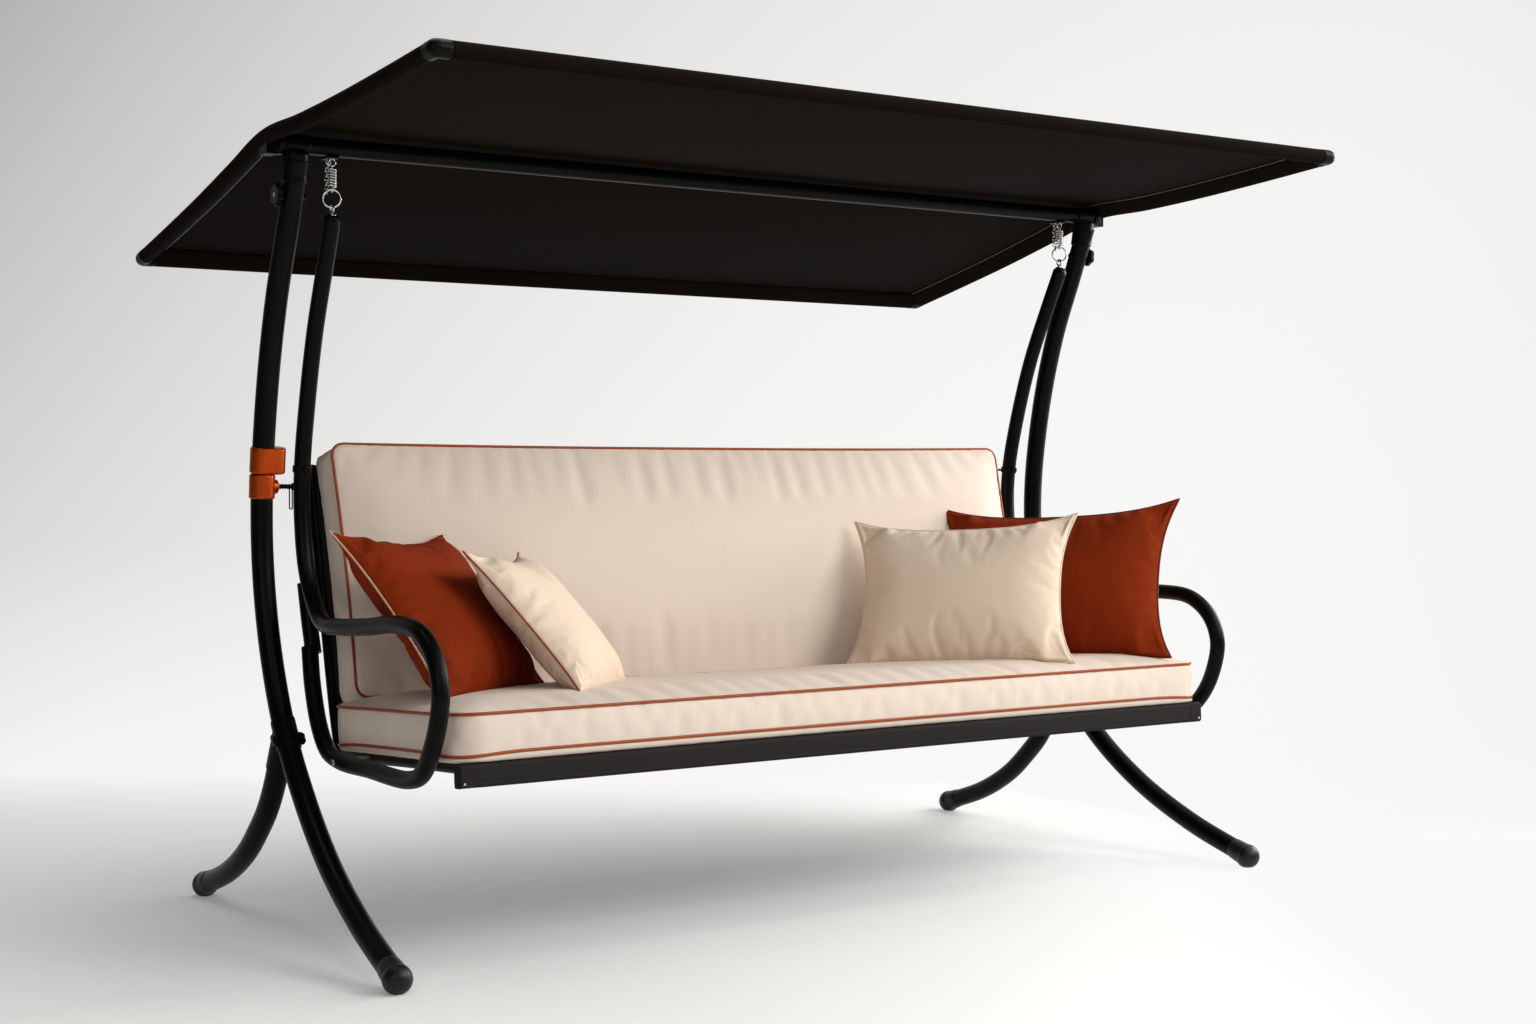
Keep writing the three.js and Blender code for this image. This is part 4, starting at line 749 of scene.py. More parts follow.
def woven(name, colour, count=620.0, contrast=0.15, slub=0.6, sheen=0.06, gloss=0.2, relief=0.00026, rough=0.9):
    """Plain-woven cloth: threads over and under, uneven slubs and slow changes of shade."""
    s = Shading(name)
    at = s.node("ShaderNodeUVMap", uv_map="weave")
    warp, weft = ((way * (math.pi * count)).maths("SINE") for way in s.split(at)[:2])
    over = warp * weft * 0.5 + 0.5
    slubs = [s.noise(s.scaled(at, (*scale, 1.0)), 1.0, 3.0, 0.6) for scale in ((count / 2, 14.0), (14.0, count / 2))]
    threads = over * (1 - slub) + (slubs[0] + slubs[1]) * (0.5 * slub)
    fuzz = s.noise(at, 260.0, 3.0, 0.7)
    slow = s.noise(s.at, 3.2, 3.0, 0.55)
    share = (threads * 0.55 + fuzz * 0.25 + slow * 0.2).clamped()
    soft = s.bump(slow, 0.002, 0.5)
    return s.surface(
        Base_Color=s.blend(share, shade(colour, 1 - contrast), shade(colour, 1 + contrast)),
        Roughness=rough + (fuzz - 0.5) * 0.1, Normal=s.bump(threads + fuzz * 0.4, relief, Normal=soft),
        Specular_IOR_Level=gloss, Sheen_Weight=sheen, Sheen_Roughness=0.5,
    )


def corded(name, colour):
    """Satin bias tape drawn round a cord: fine diagonal weave, small gathers and a soft shine."""
    s = Shading(name)
    fine = s.noise(s.scaled(s.at, (900.0, 900.0, 900.0), 45), 1.0, 3.0, 0.6)
    gathers = s.noise(s.at, 170.0)
    slow = s.noise(s.at, 9.0, 3.0)
    tint = s.blend((fine * 0.4 + gathers * 0.3 + slow * 0.3).clamped(), shade(colour, 0.6), shade(colour, 1.4))
    return s.surface(
        Base_Color=tint, Roughness=0.42 + (fine - 0.5) * 0.16, Normal=s.bump(fine * 0.4 + gathers, 0.0004),
        Specular_IOR_Level=0.25,
    )


def thread_of(name, colour):
    """Spun polyester thread."""
    s = Shading(name)
    ply = s.noise(s.at, 2200.0)
    tint = s.blend(ply, shade(colour, 0.75), shade(colour, 1.2))
    return s.surface(Base_Color=tint, Roughness=0.55 + (ply - 0.5) * 0.2, Normal=s.bump(ply, 0.0001))


# What a user may change

def colour_of(name, text, default):
    return bpy.props.FloatVectorProperty(name=name, description=text, subtype="COLOR", default=default, min=0, max=1)


def length_of(name, text, default, low, high):
    return bpy.props.FloatProperty(name=name, description=text, default=default, min=low, max=high, unit="LENGTH",
                                   precision=4)


class SwingFinishes(bpy.types.PropertyGroup):
    """Colours of the tubes, cloths and fittings."""

    tube: colour_of("Tubes", "Powder paint on the stand, canopy frame and seat frame", (0.0019, 0.0018, 0.0017))
    canopy: colour_of("Canopy", "Cloth of the canopy", (0.0058, 0.0039, 0.0027))
    sling: colour_of("Slings", "Cloth of the seat and back slings", (0.0155, 0.0135, 0.0125))
    cream: colour_of("Cushions", "Cloth of the seat, the back and two pillows", (0.74, 0.625, 0.525))
    rust: colour_of("Pillows", "Cloth of the other two pillows", (0.215, 0.0235, 0.0033))
    piping: colour_of("Piping", "Cord round the cushions' edges", (0.3, 0.056, 0.013))
    brake: colour_of("Brake", "Lacquer of the swing brake's collar and clamp", (0.49, 0.064, 0.0045))


class SwingSizes(bpy.types.PropertyGroup):
    """Sizes of the soft goods' details."""

    stitch_pitch: length_of("Stitch pitch", "Distance from one stitch to the next", 0.0042, 0.002, 0.012)
    piping: length_of("Piping", "Diameter of the cushions' piping", 2 * PIPE_RADIUS * MM, 0.003, 0.014)
    canopy_sag: length_of("Canopy sag", "How far the canopy's cloth sinks between its bars", 0.012, 0, 0.03)
    pucker: length_of("Pucker", "Depth of the puckers beside the cushions' seams", 0.001, 0, 0.006)


PAINTS = {}


def mix_paints(finishes):
    """Every material, from the chosen colours."""
    black, canopy, sling, cream, rust, piping, brake = (tuple(getattr(finishes, key)) for key in (
        "tube", "canopy", "sling", "cream", "rust", "piping", "brake"))
    PAINTS.update(
        tube=powder_coat("Black powder coat", black),
        rubber=moulded("Foot rubber", (0.0035, 0.0034, 0.0034), gloss=0.3),
        plastic=moulded("Black plastic", (0.0016, 0.0015, 0.0015)),
        chrome=plated("Chrome plate", (0.72, 0.72, 0.71), 0.14),
        zinc=plated("Bright zinc", (0.5, 0.5, 0.5), 0.3),
        brake=metallic_paint("Copper lacquer", brake),
        canopy=woven("Canopy cloth", canopy, 760.0, 0.3, 0.3, 0.0, 0.035, 0.00016),
        sling=woven("Sling cloth", sling, 480.0, 0.45, 0.2, 0.0, 0.15, 0.0003, 0.8),
        cream_pillow=woven("Cream pillow linen", shade(cream, 1.02, 0.975, 0.9)),
        cream=woven("Cream linen", cream),
        rust=woven("Rust linen", rust, contrast=0.25, sheen=0.0, gloss=0.08, relief=0.00022, rough=0.88),
        piping=corded("Rust piping", piping),
        dark_piping=corded("Dark rust piping", shade(rust, 0.55)),
        tan_piping=corded("Tan piping", shade(cream, 0.72, 0.56, 0.44)),
        pale_piping=corded("Cream piping", shade(cream, 0.96)),
        binding=corded("Grey binding", (0.075, 0.07, 0.065)),
        thread=thread_of("Charcoal thread", (0.028, 0.025, 0.023)),
    )


# Frames of the sloping seat and the leaning back

DECK = Matrix.Translation((0, -DECK_FRONT, DECK_HEIGHT)) @ Matrix.Rotation(math.radians(-DECK_PITCH), 4, "X")
LEAN = math.radians(BACK_LEAN)
BACK = Matrix.Translation((
    0, BACK_FOOT_FORWARD + BACK_THICKNESS * math.cos(LEAN), BACK_FOOT - BACK_THICKNESS * math.sin(LEAN),
)) @ Matrix.Rotation(-LEAN, 4, "X")


def on_deck(x, y, z):
    return moved(vec(x, y, z), DECK)


def on_back(x, y, z):
    return moved(vec(x, y, z), BACK)


# Centre lines

def post_line(side):
    return spline([
        (side * (POST_PLANE + FRONT_SPLAY * max(0, -y)), y * FRONT_REACH, mix(FOOT_CENTRE, POST_TOP, z))
        for y, z in POST_SHARES
    ])


def leg_line(side):
    start = at_height(post_line(side), LEG_JOINT)[0]
    return spline([
        (start[0], mix(start[1], REAR_REACH, y), mix(FOOT_CENTRE, start[2], z)) for y, z in LEG_SHARES
    ])


def hanger_line(side):
    upper = [
        (side * mix(HANGER_PLANE, HANG_PLANE, z * z), y * HANGER_BOW, mix(ARM_HEIGHT, HANGER_TOP, z))
        for y, z in HANGER_SHARES
    ]
    loop = [
        (side * mix(HANGER_PLANE, ARM_PLANE, x), -y * ARM_REACH, mix(LOWER_RUN, ARM_HEIGHT, z))
        for y, z, x in ARM_SHARES
    ]
    return spline(upper + loop)


def upright_line(side):
    return spline([
        (side * HANGER_PLANE, -y * ARM_REACH, mix(LOWER_RUN, ARM_HEIGHT, z)) for y, z in UPRIGHT_SHARES
    ])


def canopy_line(x=0.0):
    profile = [
        (CANOPY_REACH, REAR_BAR),
        *[(mix(RIDGE_BACK, CANOPY_REACH, y), mix(RIDGE, REAR_BAR, z)) for y, z in reversed(CANOPY_REAR)],
        (RIDGE_BACK, RIDGE),
        *[(mix(RIDGE_BACK, -CANOPY_REACH, y), mix(RIDGE, FRONT_BAR, z)) for y, z in CANOPY_FRONT],
        (-CANOPY_REACH, FRONT_BAR),
    ]
    return spline([(x, y, z) for y, z in profile])


RAIL_FLAT = RAIL_TUBE / 2 * math.cos(math.pi / 8)
RAIL_DROP = SLING + 0.3 + RAIL_FLAT
FRONT_RAIL_AT = FRONT_RAIL_DEPTH / 2 + SLING + 0.3
FRONT_RAIL_LOW = FRONT_RAIL_HEIGHT / 2 + SLING + 0.3


def rail_corner():
    """Where the deck's rail line meets the back's."""
    a0, a1 = on_deck(0, 0, -RAIL_DROP), on_deck(0, SEAT_DEPTH, -RAIL_DROP)
    b0, b1 = on_back(0, RAIL_DROP, 0), on_back(0, RAIL_DROP, BACK_HEIGHT)
    a, b = a1 - a0, b1 - b0
    share = ((b0[1] - a0[1]) * b[2] - (b0[2] - a0[2]) * b[1]) / (a[1] * b[2] - a[2] * b[1])
    return a0 + a * share


RAIL_CORNER = rail_corner()
REAR_RAIL_AT = np.linalg.norm(on_deck(0, 0, -RAIL_DROP) - RAIL_CORNER) - BEND_RADIUS
TOP_RAIL_AT = BACK_HEIGHT - TOP_RAIL_DROP - RAIL_TUBE / 2


def side_rail_line(side):
    x = side * RAIL_PLANE
    start = FRONT_RAIL_AT + FRONT_RAIL_DEPTH / 2 + SLING + 0.6
    deck = [on_deck(x, start, -RAIL_DROP), on_deck(x, SEAT_DEPTH * 0.45, -RAIL_DROP)]
    corner = vec(x, RAIL_CORNER[1], RAIL_CORNER[2])
    along = unit(deck[1] - deck[0])
    rise = unit(on_back(0, 0, BACK_HEIGHT) - on_back(0, 0, 0))
    near, far = 0.1 * BEND_RADIUS, 0.35 * BEND_RADIUS
    bend = [
        corner - along * BEND_RADIUS, corner - along * far + rise * near, corner - along * near + rise * far,
        corner + rise * BEND_RADIUS,
    ]
    top = on_back(x, RAIL_DROP, BACK_HEIGHT - TOP_RAIL_DROP)
    return spline([*deck, *bend, (bend[3] + top) / 2, top])


# Stand

HOOK_FLAT = CROSSBAR_HEIGHT - CROSSBAR_TUBE / 2 - 4.3


def build_stand():
    for label, side in SIDES.items():
        lines = {"post": post_line(side), "rear_leg": leg_line(side)}
        for part, line in lines.items():
            line = stretch(line, 0, FOOT_SLEEVE_LENGTH - SOCKET_DEPTH)
            steel_tube(f"{label}_{part}_tube", line, POST_TUBE, "stand", f"{label}_{part}")
        for end, line in zip(("front", "rear"), lines.values()):
            build_foot(f"{label}_{end}", line)
        build_leg_bracket(side, label)


def build_foot(label, line):
    """Rubber ball foot: a flattened ball, a neck and a sleeve with a rolled lip."""
    ball, sleeve, top = FOOT_BALL / 2, FOOT_SLEEVE / 2, FOOT_SLEEVE_LENGTH
    lip = POST_TUBE / 2 + 1.1
    profile = [(ball * math.sin(a), -ball * math.cos(a)) for a in np.linspace(0, 2.0, 22)]
    profile += [
        (sleeve - 0.2, 14.5), (sleeve - 0.5, 18), (mix(lip, sleeve, 0.5), top * 0.6), (lip, top - 2),
        (lip - 0.4, top - 0.4), (POST_TUBE / 2, top),
    ]
    corners, faces = lathe(line[-1], line[-2] - line[-1], profile, 56)
    corners[:, 2] = np.maximum(corners[:, 2], 0)
    settle(solid(f"{label}_ball_foot", (corners, faces)), "rubber", "rubber", "stand", [f"{label}_foot"], 50)


def build_leg_bracket(side, label):
    """The clamp that holds a rear leg, with a bolted ear on either side of the post."""
    post, leg = post_line(side), leg_line(side)
    outer = POST_TUBE + 2 * BRACKET_SKIN
    top, foot = (at_height(post, LEG_JOINT + BRACKET_ON_POST * share)[0] for share in (0.4, -0.6))
    leg_end = stretch(leg, 0, 0, 2.0)[int((BRACKET_ON_LEG + POST_TUBE) / 2)]
    shapes = [rod(top, foot, outer, 48, 2.0), rod(leg[0], leg_end, outer, 48, 2.0)]
    middle, along = at_height(post, EAR_HEIGHT)
    reach = Y * EAR_WIDTH / 2
    bolt = []
    for out in (-EAR_INSIDE, EAR_OUTSIDE):
        ear = middle + X * side * out
        for lift in (-5, 5):
            shapes.append(rod(ear - reach + along * lift, ear + reach + along * lift, EAR_RADIUS * 2, 32, 2.0))
        shapes.append(rod(middle, ear, EAR_WIDTH, 32, 1.0))
        for way in (-1, 1):
            bolt.append(hexagon(ear + Y * way * (EAR_WIDTH / 2 - 0.2), Y * way, BOLT_HEAD * 0.8, 3.5))
    steel(fused(f"{label}_leg_clamp", *shapes, voxel=1.2, passes=9), "stand", f"{label}_leg_bracket", sharp=60)
    settle(solid(f"{label}_clamp_bolt", *bolt), "tube", "fittings", "stand", [f"{label}_leg_bolt"], 30)


def build_heads():
    """Post heads, the crossbar, its hook eyes and the tilt knobs."""
    beam = Z * CROSSBAR_HEIGHT
    line = [beam - X * CROSSBAR_REACH, beam + X * CROSSBAR_REACH]
    steel_tube("crossbar_tube", line, CROSSBAR_TUBE, "stand", "crossbar")
    for label, side in SIDES.items():
        post = post_line(side)
        at = beam + X * side * POST_PLANE
        low = stretch(post, 0, 0, 2.0)[int(HEAD_DROP / 2)]
        made = fused(
            f"{label}_head_casting",
            rod(at - X * HEAD_WIDTH / 2, at + X * HEAD_WIDTH / 2, CROSSBAR_TUBE + 2 * HEAD_WALL, 48, 2.0),
            rod(low, (post[0] + at) / 2, POST_TUBE + 2 * HEAD_WALL, 48, 2.0), voxel=1.3, passes=8,
        )
        steel(made, "stand", f"{label}_post_head", sharp=60)
        build_hook_eye(side, label)
        build_knob(side, label)


def build_hook_eye(side, label):
    x, middle = side * HANG_PLANE, CHAIN_EYE_BACK / 2
    eye = vec(x, 0, HOOK_FLAT - EYE_RADIUS + EYE_WIRE / 4)
    chain_eye = vec(x, CHAIN_EYE_BACK, HOOK_FLAT - CHAIN_EYE_RADIUS + CHAIN_EYE_WIRE / 4)
    made = fused(
        f"{label}_hook_eyes", ring(eye, X, Z, EYE_RADIUS, EYE_WIRE),
        ring(chain_eye, X, Z, CHAIN_EYE_RADIUS, CHAIN_EYE_WIRE), voxel=0.7, passes=2,
    )
    settle(made, "chrome", "fittings", "stand", [f"{label}_hook_eye"], 60)
    made = fused(
        f"{label}_hook_plate", slab((x - 13, middle - 22, HOOK_FLAT), (x + 13, middle + 22, HOOK_FLAT + 5.5)),
        rod(eye + Z * 6, eye + Z * 13, 9, 24), voxel=0.8, passes=3,
    )
    steel(made, "stand", sharp=60)


def build_knob(side, label):
    """A lobed grip on a short collar, with a screw through the post to a nut."""
    centre = at_height(post_line(side), KNOB_HEIGHT)[0]
    out, wall = X * side, POST_TUBE / 2
    face = centre + out * (wall + 4)
    angles = np.radians(np.arange(0, 360, 5))[:, None]
    radius = KNOB_RADIUS * (1 - 0.07 * np.cos(KNOB_LOBES * angles))
    made = fused(
        f"{label}_knob_grip", prism(face + radius * (np.cos(angles) * Y + np.sin(angles) * Z), out, KNOB_DEPTH, 2.2),
        rod(centre + out * (wall + 0.3), face + out * 3, 14, 32), voxel=0.8, passes=4,
    )
    settle(made, "plastic", "knob", f"{label}_knob", [f"{label}_tilt_knob"], 60)
    made = solid(
        f"{label}_knob_screw",
        lathe(face + out * (KNOB_DEPTH - 1.5), out, [(5.5, 0), (5.5, 1.6), (4.6, 2.2), (2.4, 2.2), (2.2, 1.2)], 32),
        rod(centre - out * (wall + 7), centre - out * (wall - 3), 8, 24, 0.6),
    )
    settle(made, "zinc", "fittings", f"{label}_knob", sharp=30)
    steel(solid(f"{label}_weld_nut", hexagon(centre - out * (wall - 1), -out, 15, 8)), "stand", sharp=30)


# Canopy

CLOTH_RADIUS = CANOPY_TUBE / 2 + 1.3
HEM_TURN = 205.0
HEM_BACK = 44.0
HEM_FLAP = 40
CAP_BALL = 18.2
CAP_TUBE = 37.2
CAP_ARM = 27
CLAMP_END = 1230


def build_canopy_frame():
    for label, side in SIDES.items():
        line = stretch(canopy_line(side * CANOPY_PLANE))
        steel_tube(f"{label}_canopy_rail", line, CANOPY_TUBE, "canopy", f"canopy_{label}_rail", sides=32)
    for end, y, z in (("front", -CANOPY_REACH, FRONT_BAR), ("rear", CANOPY_REACH, REAR_BAR)):
        line = [vec(-CANOPY_PLANE, y, z), vec(CANOPY_PLANE, y, z)]
        steel_tube(f"canopy_{end}_tube", line, CANOPY_TUBE, "canopy", f"canopy_{end}_bar", sides=32)
    beam = Z * CROSSBAR_HEIGHT
    ball = [(CAP_BALL * math.sin(a), -CAP_BALL * math.cos(a)) for a in np.linspace(0, math.pi, 24)]
    for label, side in SIDES.items():
        line, out = canopy_line(side * CANOPY_PLANE), X * side
        for end, at, along in (("rear", line[0], line[1] - line[0]), ("front", line[-1], line[-2] - line[-1])):
            arms = [rod(at, at + arm * CAP_ARM, CAP_TUBE, 48, 1.2) for arm in (unit(along), -out)]
            made = fused(f"{label}_{end}_corner_cap", lathe(at, along, ball, 48), *arms, voxel=1.1, passes=4)
            steel(made, "canopy", sharp=60)
        low, high = sorted((side * (CROSSBAR_REACH + 0.4), side * CLAMP_END))
        made = fused(
            f"{label}_canopy_clamp",
            rod(beam + out * (CROSSBAR_REACH - 12.7), beam + out * (CANOPY_PLANE - CANOPY_TUBE / 2 - 0.3),
                CROSSBAR_TUBE + 12, 48, 2.0),
            slab((low, RIDGE_BACK - 22, RIDGE - 38), (high, RIDGE_BACK + 22, RIDGE - 8)), voxel=1.2, passes=5,
        )
        steel(made, "canopy", f"{label}_canopy_bracket", sharp=60)


def hem_stations():
    """A hem's way round its tube and back to the seam: how far out, up and along the cloth."""
    steps = [(CLOTH_RADIUS * math.sin(a), CLOTH_RADIUS * math.cos(a), CLOTH_RADIUS * a)
             for a in np.radians(np.linspace(0, HEM_TURN, 15)[1:])]
    out, up, reach = steps[-1]
    for share in (1 / 3, 2 / 3, 1):
        steps.append((mix(out, -HEM_BACK, share), mix(up, CLOTH_RADIUS - 2.6, share), reach + HEM_FLAP * share))
    return steps


def build_canopy_cloth():
    """One continuous sheet whose four edges turn round the frame's tubes and are sewn back to it."""
    line = stretch(canopy_line(), spacing=16.0)
    along = unit_rows(np.gradient(line, axis=0))
    normal = np.column_stack([np.zeros(len(line)), along[:, 2], -along[:, 1]])
    run = distances(line)
    length = run[-1]
    crossbar = run[np.abs(line[:, 1]).argmin()]
    sag = bpy.context.scene.swing_sizes.canopy_sag / MM
    hems = hem_stations()
    xs = CANOPY_PLANE * np.linspace(-1, 1, 97)
    n, m = len(xs), len(line)
    corners, maps, index = [], [], {}

    def dip(x, s):
        """How far the cloth sinks below a straight pull, in millimetres."""
        share = s / crossbar if s < crossbar else (length - s) / (length - crossbar)
        panel = math.sin(math.pi * share) ** 0.8 if 0 < share < 1 else 0.0
        ripple = 0.8 * math.sin(x / 210 + s / 340) * math.sin(s / 95 + 1.3)
        return (1 - abs(x / CANOPY_PLANE) ** 2.5) * (sag * panel + (3.0 + ripple) * min(1, 4 * share))

    def on_cloth(x, j, lift=0.0, shift=0.0):
        """A place over row j of the frame's line, lifted off the cloth and shifted down its slope."""
        rise = CLOTH_RADIUS + lift - dip(x, run[j])
        return vec(x, line[j, 1], line[j, 2]) + along[j] * shift + normal[j] * rise

    def put(key, point, uv):
        index[key] = len(corners)
        corners.append(point)
        maps.append(uv)

    def put_hem(edge, at, i, j, out, way):
        """The hem's corners beyond corner i, j of the sheet."""
        index[edge, at, -1] = index[i, j]
        for k, (away, up, reach) in enumerate(hems):
            point = vec(xs[i], line[j, 1], line[j, 2]) + out * away + normal[j] * up
            put((edge, at, k), point, (xs[i] + way[0] * reach, run[j] + way[1] * reach))

    for i in range(n):
        for j in range(m):
            put((i, j), on_cloth(xs[i], j), (xs[i], run[j]))
        for edge, j, way in (("rear", 0, -1), ("front", m - 1, 1)):
            put_hem(edge, i, i, j, along[j] * way, (0, way))
    for j in range(m):
        for edge, i, way in (("left", 0, -1), ("right", n - 1, 1)):
            put_hem(edge, j, i, j, X * way, (way, 0))
    faces = [(index[i, j], index[i, j + 1], index[i + 1, j + 1], index[i + 1, j])
             for i in range(n - 1) for j in range(m - 1)]
    for edge, count, first, way in (("rear", n, 0, 1), ("front", n, 0, -1), ("left", m, 1, -1), ("right", m, 1, 1)):
        for a in range(count - 1):
            for k in range(len(hems)):
                quad = [index[edge, at, row] for at, row in ((a, k - 1), (a + 1, k - 1), (a + 1, k), (a, k))]
                faces.append((quad[first:] + quad[:first])[::way])
    made = mesh_object("canopy_cover", corners, faces)
    lay_map(made.data, maps)
    settle(made, "canopy", "canopy_cloth", "canopy", ["canopy_fabric"], 70)
    thicken(made, 1.1)

    # Binding along the sewn edges of the side hems, and a double row of stitches round all four
    bindings, seams, over_under = [], [], (0.9, -2.6)
    ends = [j for j in range(m) if 24 < run[j] < length - 24]
    for side in SIDES.values():
        for inset, lifts, rows in ((0, (-3.4,), bindings), (7, over_under, seams), (13, over_under, seams)):
            x = side * (CANOPY_PLANE - HEM_BACK + inset)
            rows.extend(np.array([on_cloth(x, j, lift) for j in ends]) for lift in lifts)
    for start, way in ((0, 1), (length, -1)):
        for inset in (7, 13):
            at = start + way * (HEM_BACK - inset)
            j = int(np.abs(run - at).argmin())
            seams.extend(np.array([on_cloth(x, j, lift, at - run[j]) for x in xs[1:-1]]) for lift in over_under)
    edge = settle(tube("canopy_binding", bindings, 3.4, "binding", 10), "binding", "canopy_cloth", "canopy")
    sewn = stitches("canopy_stitches", seams, "canopy_cloth", "canopy", 0.00045, 1.2)
    hem = hems[-1][2]
    2 * (CANOPY_PLANE + hem) * MM
    (length + 2 * hem) * MM
    (2 * CANOPY_PLANE * (length + 2 * hem) + 2 * hem * length) * MM * MM


# Suspension

RING_SPIN = Matrix.Rotation(math.radians(-RING_TURN), 4, "Z")
SPRING_SPIN = Matrix.Rotation(math.radians(-RING_TURN / 2), 4, "Z")


def build_suspension():
    radius = (SPRING_COIL - SPRING_WIRE) / 2
    top, foot = SPRING_TOP - HOOK_LOOP, SPRING_FOOT + HOOK_LOOP
    coil_top, coil_foot = top - HOOK_LOOP, foot + HOOK_LOOP
    turns = 2 * math.pi * SPRING_CURLS
    hook = [(0, HOOK_LOOP * math.sin(a), top + HOOK_LOOP * math.cos(a))
            for a in np.linspace(-0.83 * math.pi, 0.5 * math.pi, 18)]
    coil = [(-radius * math.sin(a), radius * math.cos(a), mix(coil_top, coil_foot, a / turns))
            for a in np.linspace(0, turns, SPRING_CURLS * 28 + 1)]
    tail = [(0, HOOK_LOOP * math.cos(a), foot - HOOK_LOOP * math.sin(a)) for a in np.linspace(0, 1.33 * math.pi, 18)]
    spring = moved(softened(hook + coil + tail), SPRING_SPIN)
    for label, side in SIDES.items():
        middle = X * side * HANG_PLANE
        made = tube(f"{label}_coil_spring", [spring + middle], SPRING_WIRE, "chrome", 12)
        settle(made, "chrome", "fittings", nodes=[f"{label}_spring"], sharp=60)
        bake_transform(made)
        circle = arc(middle + Z * RING_CENTRE, moved(X, RING_SPIN), Z, RING_RADIUS, 0, 355, 71)
        made = tube(f"{label}_round_ring", [(circle, True)], RING_WIRE, "chrome", 14)
        settle(made, "chrome", "fittings", "rings", [f"{label}_ring"], 60)
        build_chain(middle, label)
        build_hanger_eye(side, label)


def softened(points, passes=2):
    """Rounds the joints between the stretches of one wire."""
    p = stretch(np.array(points, float), spacing=1.6)
    for _ in range(passes):
        p[1:-1] = (p[:-2] + 2 * p[1:-1] + p[2:]) / 4
    return p


def build_chain(middle, label):
    """Oval links from the chain's eye down to the ring, each a quarter turn from the last."""
    eye_foot = HOOK_FLAT + CHAIN_EYE_WIRE / 4 - 2 * CHAIN_EYE_RADIUS
    start = vec(0, CHAIN_EYE_BACK, eye_foot + CHAIN_EYE_WIRE / 2 + LINK_WIRE / 2 + 0.6)
    about = math.radians(CHAIN_FOOT_TURN)
    drop = (RING_WIRE + LINK_WIRE) / 2 / math.cos(about) + LINK_WIRE / 2 * math.tan(about) + 0.6
    end = moved(vec(-RING_RADIUS * math.sin(about), 0, RING_CENTRE + RING_RADIUS * math.cos(about)), RING_SPIN)
    end = end + unit(end - start - Y * 4 * CHAIN_BOW) * drop
    inner = (LINK_WIDTH - LINK_WIRE) / 2
    lines = []
    for i in range(LINK_COUNT):
        a, b = (mix(start, end, s) + Y * CHAIN_BOW * 4 * s * (1 - s) for s in (i / LINK_COUNT, (i + 1) / LINK_COUNT))
        axis = a - b
        above = LINK_WIRE / 2 - 0.7 if i else 0
        below = LINK_WIRE / 2 - 0.7 if i < LINK_COUNT - 1 else 0
        straight = (np.linalg.norm(axis) + above + below) / 2 - inner
        oval = [(inner * math.cos(q), 0, inner * math.sin(q) + math.copysign(1, math.sin(q)) * straight)
                for q in np.radians(np.arange(7.5, 360, 15))]
        quarter = (0 if i % 2 else math.pi / 2) - math.radians(RING_TURN) * i / (LINK_COUNT - 1)
        turn = Vector(Z).rotation_difference(Vector(axis)).to_matrix().to_4x4()
        oval = np.array(oval) + Z * (above - below) / 2
        lines.append((moved(oval, turn @ Matrix.Rotation(quarter, 4, "Z")) + (a + b) / 2 + middle, True))
    # The first two links lead from the stand's eye to the springs, and the others from the springs to the rings
    joint = mix(start, end, 2 / LINK_COUNT)
    for name, links, nodes, bodies, a, b in (
        ("first_links", lines[:2], (), ("stand", "springs"), start, joint),
        ("links", lines[2:], [f"{label}_chain"], ("springs", "rings"), joint, end),
    ):
        made = tube(f"{label}_chain_{name}", links, LINK_WIRE, "chrome", 10)
        settle(made, "chrome", "fittings", nodes=nodes, sharp=60)
        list(bodies)
        tuple((middle + a) * MM)
        tuple((middle + b) * MM)
        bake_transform(made)


def build_hanger_eye(side, label):
    line, middle = hanger_line(side), X * side * HANG_PLANE
    up = unit(line[0] - line[1])
    eye = middle + Z * (ROCK_AXIS + RING_WIRE / 2 + 2.5 + 0.3 - 8)
    foot = middle + Z * HANGER_TOP
    made = fused(
        f"{label}_eye_bolt", ring(eye, Y, Z, 8, 5), rod(foot + Z * 8, eye - Z * 8, 7, 32),
        lathe(foot + up * (CAP_HEIGHT + 0.2), Z, [(7.2, 0), (7.2, 2.4), (6.4, 3.2)], 32), voxel=0.7, passes=3,
    )
    settle(made, "chrome", "fittings", "seat", [f"{label}_hanger_eye"], 60)
    r, top = HANGER_TUBE / 2, CAP_HEIGHT
    profile = [(r, 0), (r, top * 0.3), (r - 0.6, top * 0.42), (13.6, top - 1), (13, top), (9, top)]
    made = solid(f"{label}_hanger_cap", lathe(foot + up * 0.3, up, profile, 48))
    settle(made, "plastic", "frame", "seat", sharp=40)


# Seat frame

def build_arm_hangers():
    for label, side in SIDES.items():
        steel_tube(f"{label}_hanger_tube", stretch(hanger_line(side)), HANGER_TUBE, "seat", f"{label}_arm_hanger",
                   sides=36)
        steel_tube(f"{label}_upright_tube", stretch(upright_line(side)), UPRIGHT_TUBE, "seat", sides=36)
        build_stay(side, label)


